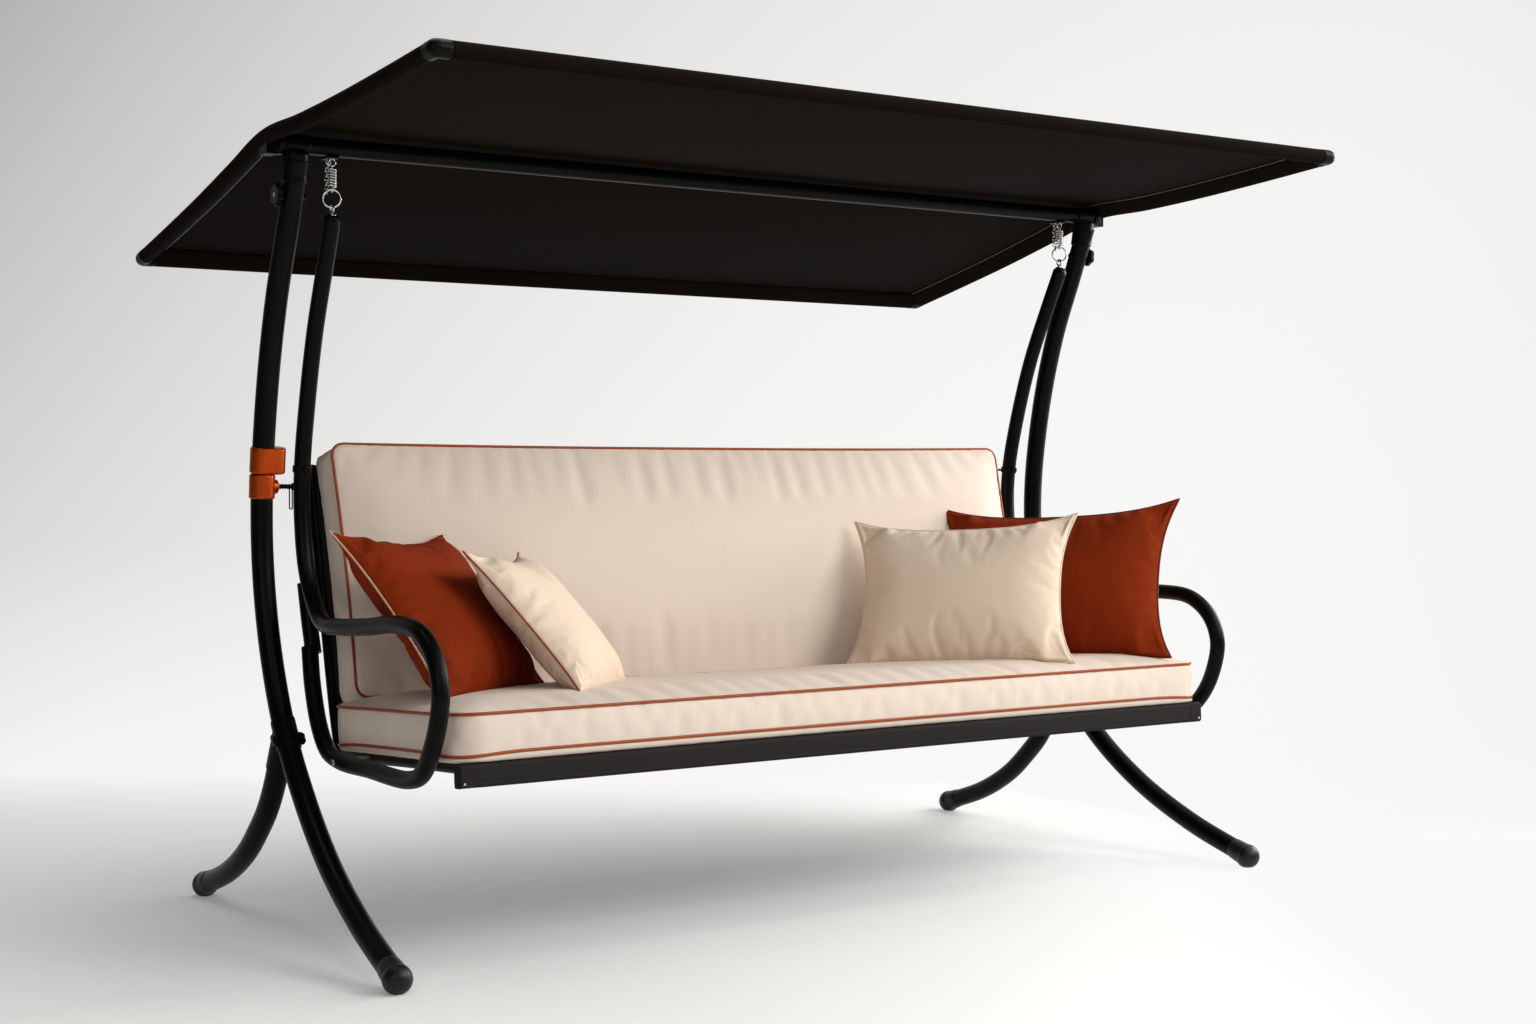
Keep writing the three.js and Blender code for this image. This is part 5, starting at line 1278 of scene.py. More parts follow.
def build_stay(side, label):
    """A thin stay from a clamp on the hanger to the back's side rail."""
    hanger, along = at_height(hanger_line(side), STAY_HEIGHT)
    reach = at_height(side_rail_line(side)[::-1], STAY_HEIGHT)[0] - hanger
    reach[2] = 0
    toward = unit(reach)
    start = hanger + toward * (HANGER_TUBE / 2)
    end = hanger + toward * (np.linalg.norm(reach) - RAIL_TUBE / 2 - 0.3)
    front = hanger - Y * HANGER_TUBE / 2
    made = fused(
        f"{label}_stay_clamp",
        rod(hanger - along * 8, hanger + along * 8, HANGER_TUBE + 6, 48, 1.2),
        rod(start, end, 6, 24), rod(end - toward * 5.5, end, 11, 24, 1.0),
        rod(end - toward * 14, end - toward * 11, 9, 24, 0.6), rod(front, front - Y * 9, 15, 32, 1.6),
        voxel=0.9, passes=3,
    )
    steel(made, "seat", f"{label}_back_stay", sharp=60)


def build_seat_frame():
    for label, side in SIDES.items():
        line = stretch(side_rail_line(side), spacing=9.0)
        steel_tube(f"{label}_side_rail", line, RAIL_TUBE, "seat", f"{label}_seat_rail", sides=28)
        build_seat_bolt(side, label)
    half = RAIL_PLANE - RAIL_FLAT
    for name, place, y, z, node in (
        ("rear_rail_tube", on_deck, REAR_RAIL_AT, -RAIL_DROP, "seat_rear_rail"),
        ("top_rail_tube", on_back, RAIL_DROP, TOP_RAIL_AT, "back_top_rail"),
    ):
        steel_tube(name, [place(-half, y, z), place(half, y, z)], RAIL_TUBE, "seat", node, sides=28)
    outline = [on_deck(-FRONT_RAIL_HALF, FRONT_RAIL_AT + y, z - FRONT_RAIL_LOW)
               for y, z in rounded_outline(FRONT_RAIL_DEPTH, FRONT_RAIL_HEIGHT, FRONT_RAIL_CORNER)]
    steel(solid("front_beam", prism(outline, X, 2 * FRONT_RAIL_HALF)), "seat", "seat_front_rail")


def rounded_outline(width, height, radius, per_corner=6):
    points = []
    a, b = width / 2 - radius, height / 2 - radius
    for q, (x, y) in enumerate(((a, b), (-a, b), (-a, -b), (a, -b))):
        for k in range(per_corner + 1):
            angle = (q + k / per_corner) * math.pi / 2
            points.append((x + radius * math.cos(angle), y + radius * math.sin(angle)))
    return points


def build_seat_bolt(side, label):
    """The low bolt from the hanger's run to the seat's rail, with its spacer."""
    line = hanger_line(side)
    near = line[np.abs(line[:, 1] + SEAT_BOLT_BACK) + np.abs(line[:, 2] - LOWER_RUN) < 12]
    out, x, at = abs(near[:, 0]).mean(), X * side, vec(0, -SEAT_BOLT_BACK, LOWER_RUN)
    made = solid(
        f"{label}_rail_bolt",
        hexagon(at + x * (out + HANGER_TUBE / 2 + 0.3), x, BOLT_HEAD, 5.5),
        hexagon(at + x * (RAIL_PLANE - RAIL_FLAT - 0.3), -x, BOLT_HEAD, 5.5),
        rod(at + x * (RAIL_PLANE + RAIL_FLAT), at + x * (out - HANGER_TUBE / 2), 17, 32, 0.6),
    )
    settle(made, "zinc", "fittings", "seat", [f"{label}_seat_bolt"], 30)


# Slings

SLEEVE_DEPTH = FRONT_RAIL_DEPTH / 2 + SLING - 0.4
SLEEVE_HEIGHT = FRONT_RAIL_HEIGHT / 2 + SLING - 0.4
SLEEVE_CORNER = FRONT_RAIL_CORNER + SLING + 0.3
SLEEVE_HALF = FRONT_RAIL_HALF + SLING


def cloth_sheet(name, node, rows, columns, half, place):
    """A sheet through rows of (y, z), each as wide as half says, and its length along the rows."""
    corners, maps, faces, run = [], [], [], 0.0
    for r, (y, z) in enumerate(rows):
        run += math.dist(rows[max(0, r - 1)], (y, z))
        for x in half(r) * np.linspace(-1, 1, columns + 1):
            corners.append(place(r, x, y, z))
            maps.append((x, run))
    for r in range(len(rows) - 1):
        for a in range(r * (columns + 1), r * (columns + 1) + columns):
            faces.append((a, a + 1, a + columns + 2, a + columns + 1))
    made = mesh_object(name, corners, faces)
    lay_map(made.data, maps)
    settle(made, "sling", "sling_cloth", "seat", [node], 70)
    thicken(made, 1.2)
    return made, run


def build_slings():
    """The seat's sling with the sleeve that wraps the front beam, and the back's sling."""
    path = [(FRONT_RAIL_AT + y, z - FRONT_RAIL_LOW)
            for y, z in rounded_outline(2 * SLEEVE_DEPTH, 2 * SLEEVE_HEIGHT, SLEEVE_CORNER, 5)[::-1]]
    first = min(range(len(path)), key=lambda k: (
        abs(path[k][0] - FRONT_RAIL_AT - SLEEVE_DEPTH) + abs(path[k][1] + 2 * FRONT_RAIL_LOW - 4)))
    path = path[first:] + path[:first]
    if path[1][0] > path[0][0]:
        path = path[::-1]
    sleeve = path[:1 + max(range(len(path)), key=lambda k: path[k][1] + path[k][0] * 0.001)]
    sheet = [(y, -1.2) for y in np.linspace(sleeve[-1][0] + 12, REAR_RAIL_AT, 36)]
    radius = RAIL_TUBE / 2 + 1
    hem = [(REAR_RAIL_AT + radius * math.sin(a), radius * math.cos(a) - RAIL_DROP)
           for a in np.radians(np.linspace(20, 230, 12))]
    rows = [*sleeve, *sheet, *hem]

    def half(r):
        return SLEEVE_HALF if r < len(sleeve) else RAIL_PLANE

    def place(r, x, y, z):
        """Small creases near the sleeve's ends, and a shallow hollow in the sheet."""
        dip = crease = 0.0
        if r < len(sleeve):
            crease = 0.5 * math.sin(x / 17 + 3 * math.sin(x / 61)) * math.exp(-(SLEEVE_HALF - abs(x)) / 60)
        elif r < len(sleeve) + len(sheet):
            share = (y - sheet[0][0]) / (REAR_RAIL_AT - sheet[0][0])
            dip = 3.0 * math.sin(math.pi * share) * (1 - (x / RAIL_PLANE) ** 4)
        return on_deck(x, y, z - dip) + crease * on_normal(rows, r)

    made, run = cloth_sheet("seat_sling_cloth", "seat_sling", rows, 120, half, place)
    trims = build_sleeve_ends()
    wrapped = distances(np.array(sleeve))[-1]
    build_back_sling()


def build_sleeve_ends():
    """The sleeve's seams and turned-over ends: a patch, its stitches, a rivet and the closed end on each side."""
    front = FRONT_RAIL_AT - SLEEVE_DEPTH - 0.5
    low, high = -FRONT_RAIL_LOW - SLEEVE_HEIGHT, SLEEVE_HEIGHT - FRONT_RAIL_LOW
    lines = [np.array([on_deck(x, front, z) for x in np.linspace(-reach, reach, 90)])
             for z, reach in ((low + 8, FRONT_RAIL_HALF - 8), (high - 6, FRONT_RAIL_HALF - 38))]
    out = np.array(DECK.to_3x3() @ Vector(-Y))
    wide, tall, r = 36.0, high - low - 5, 11.0
    turn = np.linspace(0, math.pi / 2, 7)
    shape = [(wide / 2, tall / 2), (wide / 2, -tall / 2)]
    shape += [(r - wide / 2 - r * math.sin(a), r - tall / 2 - r * math.cos(a)) for a in turn]
    shape += [(r - wide / 2 - r * math.cos(a), tall / 2 - r + r * math.sin(a)) for a in turn]
    end = np.array(rounded_outline(2 * SLEEVE_DEPTH + 1.4, 2 * SLEEVE_HEIGHT + 1.4, SLEEVE_CORNER))
    end += (FRONT_RAIL_AT, -FRONT_RAIL_LOW)
    centre = end.mean(0)
    patches, rivets = [], []
    for side in SIDES.values():
        x, z = side * (FRONT_RAIL_HALF - wide / 2), (low + high) / 2
        patches.append(prism([on_deck(x + side * a, front + 0.5, z + b) for a, b in shape], out, 1.3, 0.5))
        inner = np.array([on_deck(x + side * a * 0.82, front - 1.1, z + b * 0.88) for a, b in shape[1:]])
        lines.append(stretch(inner, spacing=2.0))
        rings = [[on_deck(side * (FRONT_RAIL_HALF - 4 + lift), *row) for row in centre + (end - centre) * grow]
                 for lift, grow in ((0, 0.97), (2, 1.0), (4, 0.995), (5.4, 0.95), (6.3, 0.86), (6.5, 0.6))]
        faces = skin(len(rings), len(end))
        patches.append((np.vstack(rings), faces if side > 0 else [f[::-1] for f in faces]))
        spot = on_deck(side * (FRONT_RAIL_HALF - 7), front - 0.6, low + 9)
        rivets.append(lathe(spot, out, [(2.8, 0), (2.8, 0.5), (2.2, 1.1), (1.0, 1.5)], 20))
    patch = solid("sleeve_ends", *patches)
    weave_map(patch.data, DECK)
    settle(patch, "sling", "sling_cloth", "seat", sharp=45)
    rivet = settle(solid("sleeve_rivets", *rivets), "zinc", "fittings", "seat", sharp=45)
    return [stitches("sling_stitches", lines, "sling_cloth", "seat"), patch, rivet]


def on_normal(rows, r):
    """The direction out of the sling's path at a row."""
    a, b = rows[max(0, r - 1)], rows[min(len(rows) - 1, r + 1)]
    y, z = np.array((b[0] - a[0], b[1] - a[1])) / max(1e-6, math.dist(a, b))
    return np.array(DECK.to_3x3() @ Vector((0, -z, y)))


def build_back_sling():
    """A sheet in front of the back's rails, sewn round the top rail, with a hem down each side."""
    radius, half = RAIL_TUBE / 2 + 1.0, RAIL_PLANE - 4
    flat = [(1.5, z) for z in np.linspace(0, TOP_RAIL_AT, 34)]
    turn = [(RAIL_DROP - radius * math.cos(a), TOP_RAIL_AT + radius * math.sin(a))
            for a in np.radians(np.linspace(12, 200, 14))]

    def place(r, x, y, z):
        hollow = 2.0 * math.sin(math.pi * z / TOP_RAIL_AT) * (1 - (x / half) ** 4) if r < len(flat) else 0
        return on_back(x, y + hollow, z)

    rows = [*flat, *turn, (RAIL_DROP + 3, TOP_RAIL_AT - 30)]
    made, run = cloth_sheet("back_sling_cloth", "back_sling", rows, 100, lambda r: half, place)
    lines = [np.array([on_back(side * (half - inset), 1.5 + lift, z) for z in np.linspace(4, TOP_RAIL_AT - 4, 50)])
             for side in SIDES.values() for inset in (10, 24) for lift in (-0.8, 0.8)]
    sewn = stitches("back_sling_stitches", lines, "sling_cloth", "seat")


# Cushions

CELL = 13.0
SIDE_ROWS = 8
EDGE_ROWS = [0.0, 3.0, 7.0, 12.0, 19.0]
SIDE_SWELL = 2.4
CUSHION_PRESSURE = 3.0
PILLOW_PRESSURE = 5.0
BLOW_FRAMES = 20
FOLD_CAP = 15.0
CUSHION_FOLDS = 22.0
PILLOW_FOLDS = 34.0
PILLOW_PUCKER = 2.4
PILLOW_FULLNESS = 0.72
PILLOW_PIPE = 4.6


def panels(face, back, n, m):
    """The quads of two panels that face away from each other, and the grid places round their edge."""
    faces = []
    for i in range(n):
        for j in range(m):
            faces.append((face[i, j], face[i + 1, j], face[i + 1, j + 1], face[i, j + 1]))
            faces.append((back[i, j], back[i, j + 1], back[i + 1, j + 1], back[i + 1, j]))
    edge = [(i, 0) for i in range(n)] + [(n, j) for j in range(m)]
    return faces, edge + [(i, m) for i in range(n, 0, -1)] + [(0, j) for j in range(m, 0, -1)]


def cushion_grid(half_width, half_depth, thickness, crown, radius):
    """A box cushion as a closed grid in its own frame, with the rows of its two seams."""
    edge = EDGE_ROWS
    low, high = LOW_SEAM, thickness - HIGH_SEAM

    def stations(half):
        inner = np.linspace(edge[-1], 2 * half - edge[-1], int(round(2 * half / CELL)))
        return np.concatenate([edge[:-1], inner, 2 * half - np.array(edge[-2::-1])]) - half

    xs, ys = stations(half_width), stations(half_depth)
    n, m = len(xs) - 1, len(ys) - 1

    def plan(i, j):
        """The place of a grid corner, its distance from the edge and the way out there."""
        x, y = xs[i], ys[j]
        u, v = (abs(x) - half_width) / radius + 1, (abs(y) - half_depth) / radius + 1
        inset = min(half_width - abs(x), half_depth - abs(y))
        if u > 0 and v > 0:
            a, b = u * math.sqrt(1 - v * v / 2), v * math.sqrt(1 - u * u / 2)
            out = np.array((math.copysign(a, x), math.copysign(b, y))) / max(1e-6, math.hypot(a, b))
            x = math.copysign(half_width - radius + radius * a, x)
            y = math.copysign(half_depth - radius + radius * b, y)
        elif half_width - abs(x) < half_depth - abs(y):
            out = np.array((math.copysign(1, x), 0))
        else:
            out = np.array((0, math.copysign(1, y)))
        in_x = DRAW_IN * (1 - (y / half_depth) ** 2) * abs(x / half_width) ** 6
        in_y = DRAW_IN * (1 - (x / half_width) ** 2) * abs(y / half_depth) ** 6
        return np.array((x - math.copysign(in_x, x), y - math.copysign(in_y, y))), inset, out

    def seam_low(at):
        """The lower seam sags at the four corners."""
        away = math.hypot(half_width - abs(at[0]), half_depth - abs(at[1]))
        return low - 7 * math.exp(-(away / 95) ** 2)

    corners, top, bottom = [], {}, {}
    for i in range(n + 1):
        for j in range(m + 1):
            at, inset, out = plan(i, j)
            rise = crown * (1 - (1 - min(1.0, inset / half_depth)) ** 2.6)
            roll = np.interp(inset, edge, (0, 1.6, 3.2, 4.2, 4.6))
            top[i, j] = len(corners)
            corners.append((*at, high + rise + roll))
            lip = out * np.interp(inset, edge, (0, 3.4, 4.2, 2.0, 0))
            bottom[i, j] = len(corners)
            corners.append((*(at + lip), seam_low(at) * np.interp(inset, edge, (1, 0.62, 0.22, 0.04, 0))))
    faces, loop = panels(top, bottom, n, m)
    rows = [[bottom[k] for k in loop]]
    for k in range(1, SIDE_ROWS):
        share = k / SIDE_ROWS
        swell = SIDE_SWELL * math.sin(math.pi * share) ** 0.6
        row = []
        for i, j in loop:
            at, _, out = plan(i, j)
            row.append(len(corners))
            corners.append((*(at + out * swell), mix(seam_low(at), high, share)))
        rows.append(row)
    rows.append([top[k] for k in loop])
    for low_row, high_row in zip(rows[:-1], rows[1:]):
        for k in range(len(loop)):
            q = (k + 1) % len(loop)
            faces.append((low_row[k], low_row[q], high_row[q], high_row[k]))
    return np.array(corners, float), faces, rows, list(bottom.values())


def pillow_grid(spec):
    """Two panels of cloth sewn along their drawn-in edge, half filled. Cells crowd towards the edge."""
    width, height, thick = spec["size"]
    n = 64 if width > 500 else 52
    m = int(round(n * height / width / 2)) * 2
    corners, front, rear = [], {}, {}
    dice = np.random.default_rng(spec["seed"])
    lumps = dice.uniform(-1, 1, 8)

    def crowd(share):
        return 0.8 * share + 0.2 * math.sin(share * math.pi / 2)

    for i in range(n + 1):
        for j in range(m + 1):
            a, b = crowd(2 * i / n - 1), crowd(2 * j / m - 1)
            edge = i in (0, n) or j in (0, m)
            x = width / 2 * a * (1 - 0.115 * (1 - abs(b) ** 2.4))
            z = height / 2 * b * (1 - (0.03 if b < 0 else 0.125) * (1 - abs(a) ** 2.4))
            fold = 1 + 0.05 * (lumps[0] * math.sin(3 * a + 3 * lumps[1]) + lumps[2] * math.sin(4 * b + 3 * lumps[3]))
            swell = 0.0 if edge else 0.31 * thick * max(0, (1 - a**4) * (1 - b**4)) ** 0.5 * fold
            ear = abs(a * b) ** 5
            x += math.copysign(9 * ear, a)
            z += 12 * ear * (b > 0)
            front[i, j] = len(corners)
            corners.append((x, -swell, z))
            if edge:
                rear[i, j] = front[i, j]
            else:
                rear[i, j] = len(corners)
                corners.append((x, swell, z))
    faces, loop = panels(front, rear, n, m)
    return np.array(corners, float), faces, [front[at] for at in loop]


def add_cloth(made, pressure, pinned, stretch_by, bending, tension=15.0, mass=0.25):
    """Air pressure inside a closed skin, with no gravity. Pinned corners stay where they are."""
    modifier = made.modifiers.new("Cloth", "CLOTH")
    cloth = modifier.settings
    cloth.quality = 6
    cloth.mass = mass
    cloth.tension_stiffness = cloth.compression_stiffness = tension
    cloth.shear_stiffness = 5.0
    cloth.bending_stiffness = bending
    cloth.use_pressure = True
    cloth.uniform_pressure_force = pressure
    cloth.shrink_min = -stretch_by
    cloth.effector_weights.gravity = 0
    modifier.collision_settings.use_collision = False
    modifier.point_cache.frame_start = 1
    modifier.point_cache.frame_end = 30
    group = made.vertex_groups.new(name="pinned")
    group.add([int(i) for i in pinned], 1.0, "REPLACE")
    cloth.vertex_group_mass = "pinned"


def blown(pieces, frames):
    """Runs every piece's cloth at once and returns where its corners end, in millimetres."""
    scene = bpy.context.scene
    for f in range(1, frames + 1):
        scene.frame_set(f)
    graph = bpy.context.evaluated_depsgraph_get()
    ends = [places_of(made.evaluated_get(graph).data) for made in pieces]
    for made in pieces:
        made.modifiers.clear()
        made.vertex_groups.clear()
    scene.frame_set(1)
    return ends


def capped(start, end, most):
    """No corner ends further from its start than the cap."""
    shift = end - start
    size = np.linalg.norm(shift, axis=1, keepdims=True)
    return start + shift * np.minimum(1, most / np.maximum(size, 1e-9))


def puckers(points, normals, seam, depth, reach, seed):
    """Short folds that leave a seam at right angles and die away from it."""
    dice = np.random.default_rng(seed)
    phase = dice.uniform(0, 6.3, 8)
    tree = KDTree(len(seam))
    for i, p in enumerate(seam):
        tree.insert(p, i)
    tree.balance()
    run = distances(np.vstack([seam, seam[:1]]))
    moved_points = points.copy()
    for i, p in enumerate(points):
        _, k, away = tree.find(p)
        if away > reach * 3 or away < 0.01:
            continue
        s = run[k]
        wave = (math.sin(s / 9.5 + phase[0] + 2 * math.sin(s / 71 + phase[1]))
                * (0.55 + 0.45 * math.sin(s / 43 + phase[2]))
                + 0.5 * math.sin(s / 4.1 + phase[3]) * max(0, math.sin(s / 130 + phase[4])))
        fade = math.exp(-away / reach) * (1 - math.exp(-away / 5))
        moved_points[i] += normals[i] * depth * wave * fade
    return moved_points


def build_soft_goods():
    """The seat and back cushions and the four pillows, blown up together."""
    jobs = []
    for name, shape, place in (
        ("seat_cushion", (SEAT_HALF, SEAT_DEPTH / 2, SEAT_THICKNESS, SEAT_CROWN, SEAT_CORNER),
         DECK @ Matrix.Translation((0, SEAT_DEPTH / 2, 0.3))),
        ("back_cushion", (BACK_HALF, BACK_HEIGHT / 2, BACK_THICKNESS, BACK_CROWN, BACK_CORNER),
         BACK @ Matrix.Translation((0, -0.3, BACK_HEIGHT / 2)) @ Matrix.Rotation(math.pi / 2, 4, "X")),
    ):
        start, faces, rows, under = cushion_grid(*shape)
        made = mesh_object(f"{name}_cover", start, faces)
        add_cloth(made, CUSHION_PRESSURE, [*under, *rows[0], *rows[-1]], 0.006, 5.0)
        jobs.append((finish_cushion, name, made, (start, rows, place)))
    for name, spec in PILLOWS.items():
        start, faces, loop = pillow_grid(spec)
        made = mesh_object(f"{name}_cover", start, faces)
        add_cloth(made, PILLOW_PRESSURE, loop, 0.045, 0.25, 20.0, 0.2)
        jobs.append((finish_pillow, name, made, (loop, spec)))
    ends = blown([made for _, _, made, _ in jobs], BLOW_FRAMES)
    for (finish, name, made, extra), end in zip(jobs, ends):
        finish(name, made, end, *extra)


def finish_cushion(name, made, end, start, rows, place):
    sizes = bpy.context.scene.swing_sizes
    points = capped(start, end, FOLD_CAP)
    seams = [points[rows[0]], points[rows[-1]]]
    put_places(made.data, points)
    normals = normals_of(made.data)
    for k, seam in enumerate(seams):
        points = puckers(points, normals, seam, sizes.pucker / MM, CUSHION_FOLDS, 20 + k)
    points[:, 2] = np.maximum(points[:, 2], 0.0)
    put_places(made.data, moved(points, place))
    weave_map(made.data, place)
    settle(made, "cream", "cream_cloth", "seat", [name], 80)
    pipes = []
    for seam in seams[1 if name == "back_cushion" else 0:]:
        away = (seam - seam.mean(0)) * (1, 1, 0)
        pipes.append((moved(seam + unit_rows(away) * 1.6, place), True))
    settle(tube(f"{name}_piping", pipes, sizes.piping / MM, "piping", 12), "piping", "rust_cloth", "seat")


def pillow_place(name, spec):
    """Where the CAD has the pillow: its turn and lean on the deck, dropped until it touches the seat."""
    at = np.array(DECK.inverted() @ Vector(spec["at"]))
    turn = Matrix.Rotation(math.radians(spec["turn"]), 4, "Z") @ Matrix.Rotation(math.radians(-spec["lean"]), 4, "X")
    place = DECK @ Matrix.Translation(at) @ turn
    width, height, thick = spec["size"]
    a, b = np.meshgrid(np.linspace(-1, 1, 11), np.linspace(-1, 1, 11), indexing="ij")
    x = width / 2 * a * (1 - 0.07 * (1 - b * b))
    z = height / 2 * b * (1 - np.where(b < 0, 0.015, 0.07) * (1 - a * a))
    swell = np.sqrt(np.maximum(0, (1 - a**4) * (1 - b**4))) * (1 - 0.25 * (a * a + b * b) / 2) * thick / 2
    cloud = np.vstack([np.column_stack([x.ravel(), (s * swell).ravel(), z.ravel()]) for s in (-1, 1)])
    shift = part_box(name)[0][2] / MM - moved(cloud, place)[:, 2].min()
    up = np.array(DECK.to_3x3() @ Vector(Z))
    return Matrix.Translation(Vector(up * shift / up[2])) @ place


def finish_pillow(name, made, end, loop, spec):
    full = np.abs(end[:, 1]) / np.abs(end[:, 1]).max()
    points = end.copy()
    points[:, 1] = np.sign(end[:, 1]) * full**PILLOW_FULLNESS * spec["size"][2] / 2
    put_places(made.data, points)
    depth = bpy.context.scene.swing_sizes.pucker / MM * PILLOW_PUCKER
    points = puckers(points, normals_of(made.data), points[loop], depth, PILLOW_FOLDS, spec["seed"])
    place = pillow_place(name, spec)
    put_places(made.data, moved(points, place))
    weave_map(made.data, place)
    cloth = ("rust", "rust_cloth") if "rust" in name else ("cream_pillow", "cream_cloth")
    settle(made, *cloth, "seat", [name], 80)
    rim = set(loop)
    creases = [float(edge.vertices[0] in rim and edge.vertices[1] in rim) for edge in made.data.edges]
    made.data.attributes.new("crease_edge", "FLOAT", "EDGE").data.foreach_set("value", creases)
    smooth = made.modifiers.new("Smooth", "SUBSURF")
    smooth.levels = smooth.render_levels = 1
    cord = tube(f"{name}_piping", [(moved(points[loop], place), True)], PILLOW_PIPE, spec["trim"], 10)
    settle(cord, spec["trim"], "rust_cloth" if spec["trim"] in ("piping", "dark_piping") else "cream_cloth", "seat")


# Swing brake

def build_brake():
    line = post_line(-1)
    mid, along = at_height(line, COLLAR_FOOT + COLLAR_HEIGHT / 2)
    up = -along
    across = unit(np.cross(Y, up))
    back = np.cross(up, across)
    r = POST_TUBE / 2 + 4
    foot = mid - up * COLLAR_HEIGHT / 2
    outline = []
    for shift, first in ((COLLAR_BULGE, -90), (0, 90)):
        for a in np.radians(np.arange(first, first + 181, 6)):
            outline.append(foot + across * (shift + r * math.cos(a)) + back * r * math.sin(a))
    made = fused("brake_collar_shell", prism(outline, up, COLLAR_HEIGHT, 3.0), voxel=1.0, passes=6)
    settle(made, "brake", "copper_paint", "stand", ["brake_collar"], 60)

    axis = at_height(line, BRAKE_HEIGHT)[0]

    def on(d):
        """A point on the plunger's axis."""
        return axis + X * d

    upper, lower = (at_height(line, COLLAR_FOOT - CLAMP_GAP - drop)[0] for drop in (0, CLAMP_HEIGHT))
    made = fused(
        "brake_clamp_band", rod(upper, lower, POST_TUBE + 8, 56, 2.0), rod(axis, on(BOSS_REACH), BOSS_TUBE, 48, 1.6),
        rod(on(BOSS_REACH - 1), on(BOSS_REACH + 3), 22, 32, 0.8), voxel=0.9, passes=5,
    )
    settle(made, "brake", "copper_paint", "stand", ["brake_clamp"], 60)

    pad_end = at_height(hanger_line(-1), BRAKE_HEIGHT)[0][0] - HANGER_TUBE / 2 - 0.3 - axis[0]
    neck = LOOP_WIRE + 2.0
    pad, pin, coil_radius = pad_end - 5, POST_TUBE / 2 + 8.8, BRAKE_COIL / 2
    far = pad - neck
    near = far - 2.4
    profile = [
        (3.6, pin), (4, pin + 0.6), (4, near), (coil_radius - 0.3, near), (coil_radius, near + 0.4),
        (coil_radius, far - 0.4), (coil_radius - 0.3, far), (4, far), (4, pad), (8.1, pad), (8.5, pad + 0.6),
        (8.5, pad_end - 1), (7.6, pad_end),
    ]
    steel(solid("brake_plunger_pin", lathe(axis, X, profile, 40)), "plunger", "brake_plunger", sharp=35)

    start, end = BOSS_REACH + 3.3 + BRAKE_WIRE / 2, near - 0.3 - BRAKE_WIRE / 2
    radius, turns = (BRAKE_COIL - BRAKE_WIRE) / 2, 2 * math.pi * BRAKE_CURLS
    coil = [axis + vec(mix(start, end, a / turns), radius * math.cos(a), radius * math.sin(a))
            for a in np.linspace(0, turns, BRAKE_CURLS * 26 + 1)]
    made = steel(tube("brake_coil_spring", [coil], BRAKE_WIRE, "tube", 10), None, "brake_spring", sharp=60)
    tuple(on(start) * MM)
    tuple(on(end) * MM)
    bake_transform(made)

    width, length = LOOP_WIDTH - LOOP_WIRE, LOOP_LENGTH - LOOP_WIRE
    loop = [on(pad - neck / 2) + vec(0, y, z - length / 2) for y, z in rounded_outline(width, length, LOOP_WIRE, 8)]
    made = tube("brake_pull_loop", [(loop, True)], LOOP_WIRE, "tube", 12)
    steel(made, "pull_loop", "brake_loop", sharp=60)


# Stage

LAMPS = [
    ("Key", (2.6, -4.6, 3.6), (0.2, 0.0, 0.7), (3.2, 2.6), 196, (1, 0.99, 0.975)),
    ("Front", (-0.9, -4.4, 4.0), (0.0, 0.0, 0.6), (3.0, 2.2), 40, (1, 0.99, 0.98)),
    ("Left", (-4.2, -3.4, 2.4), (0.0, 0.0, 0.8), (2.0, 2.0), 28, (1, 1, 1)),
    ("Top", (0.2, 0.2, 5.2), (0.0, 0.0, 0.0), (5.0, 3.5), 165, (1, 0.995, 0.985)),
    ("Right", (5.0, -0.8, 2.2), (0.0, 0.0, 0.8), (2.4, 2.4), 205, (1, 0.99, 0.975)),
    ("Side", (3.6, -2.4, 4.2), (0.2, 0.0, 0.5), (2.4, 2.4), 80, (1, 0.99, 0.975)),
]
ROOM_LIGHT = 0.08
ROOM_GLOSS = 0.05
ROOM_SEEN = 0.9
VIEW_TURN = math.radians(34.6)
VIEW_ACROSS = (math.cos(VIEW_TURN), -math.sin(VIEW_TURN), 0)
VIEW_DEPTH = (math.sin(VIEW_TURN), math.cos(VIEW_TURN), 0)
FLOOR_EDGE = 2.2
WALL_BEND = 2.6
WALL_TOP = 9.0
SWEEP_HALF = 11.0
PHOTO_WIDTH = 1536
PHOTO_FOCUS = 2155.8


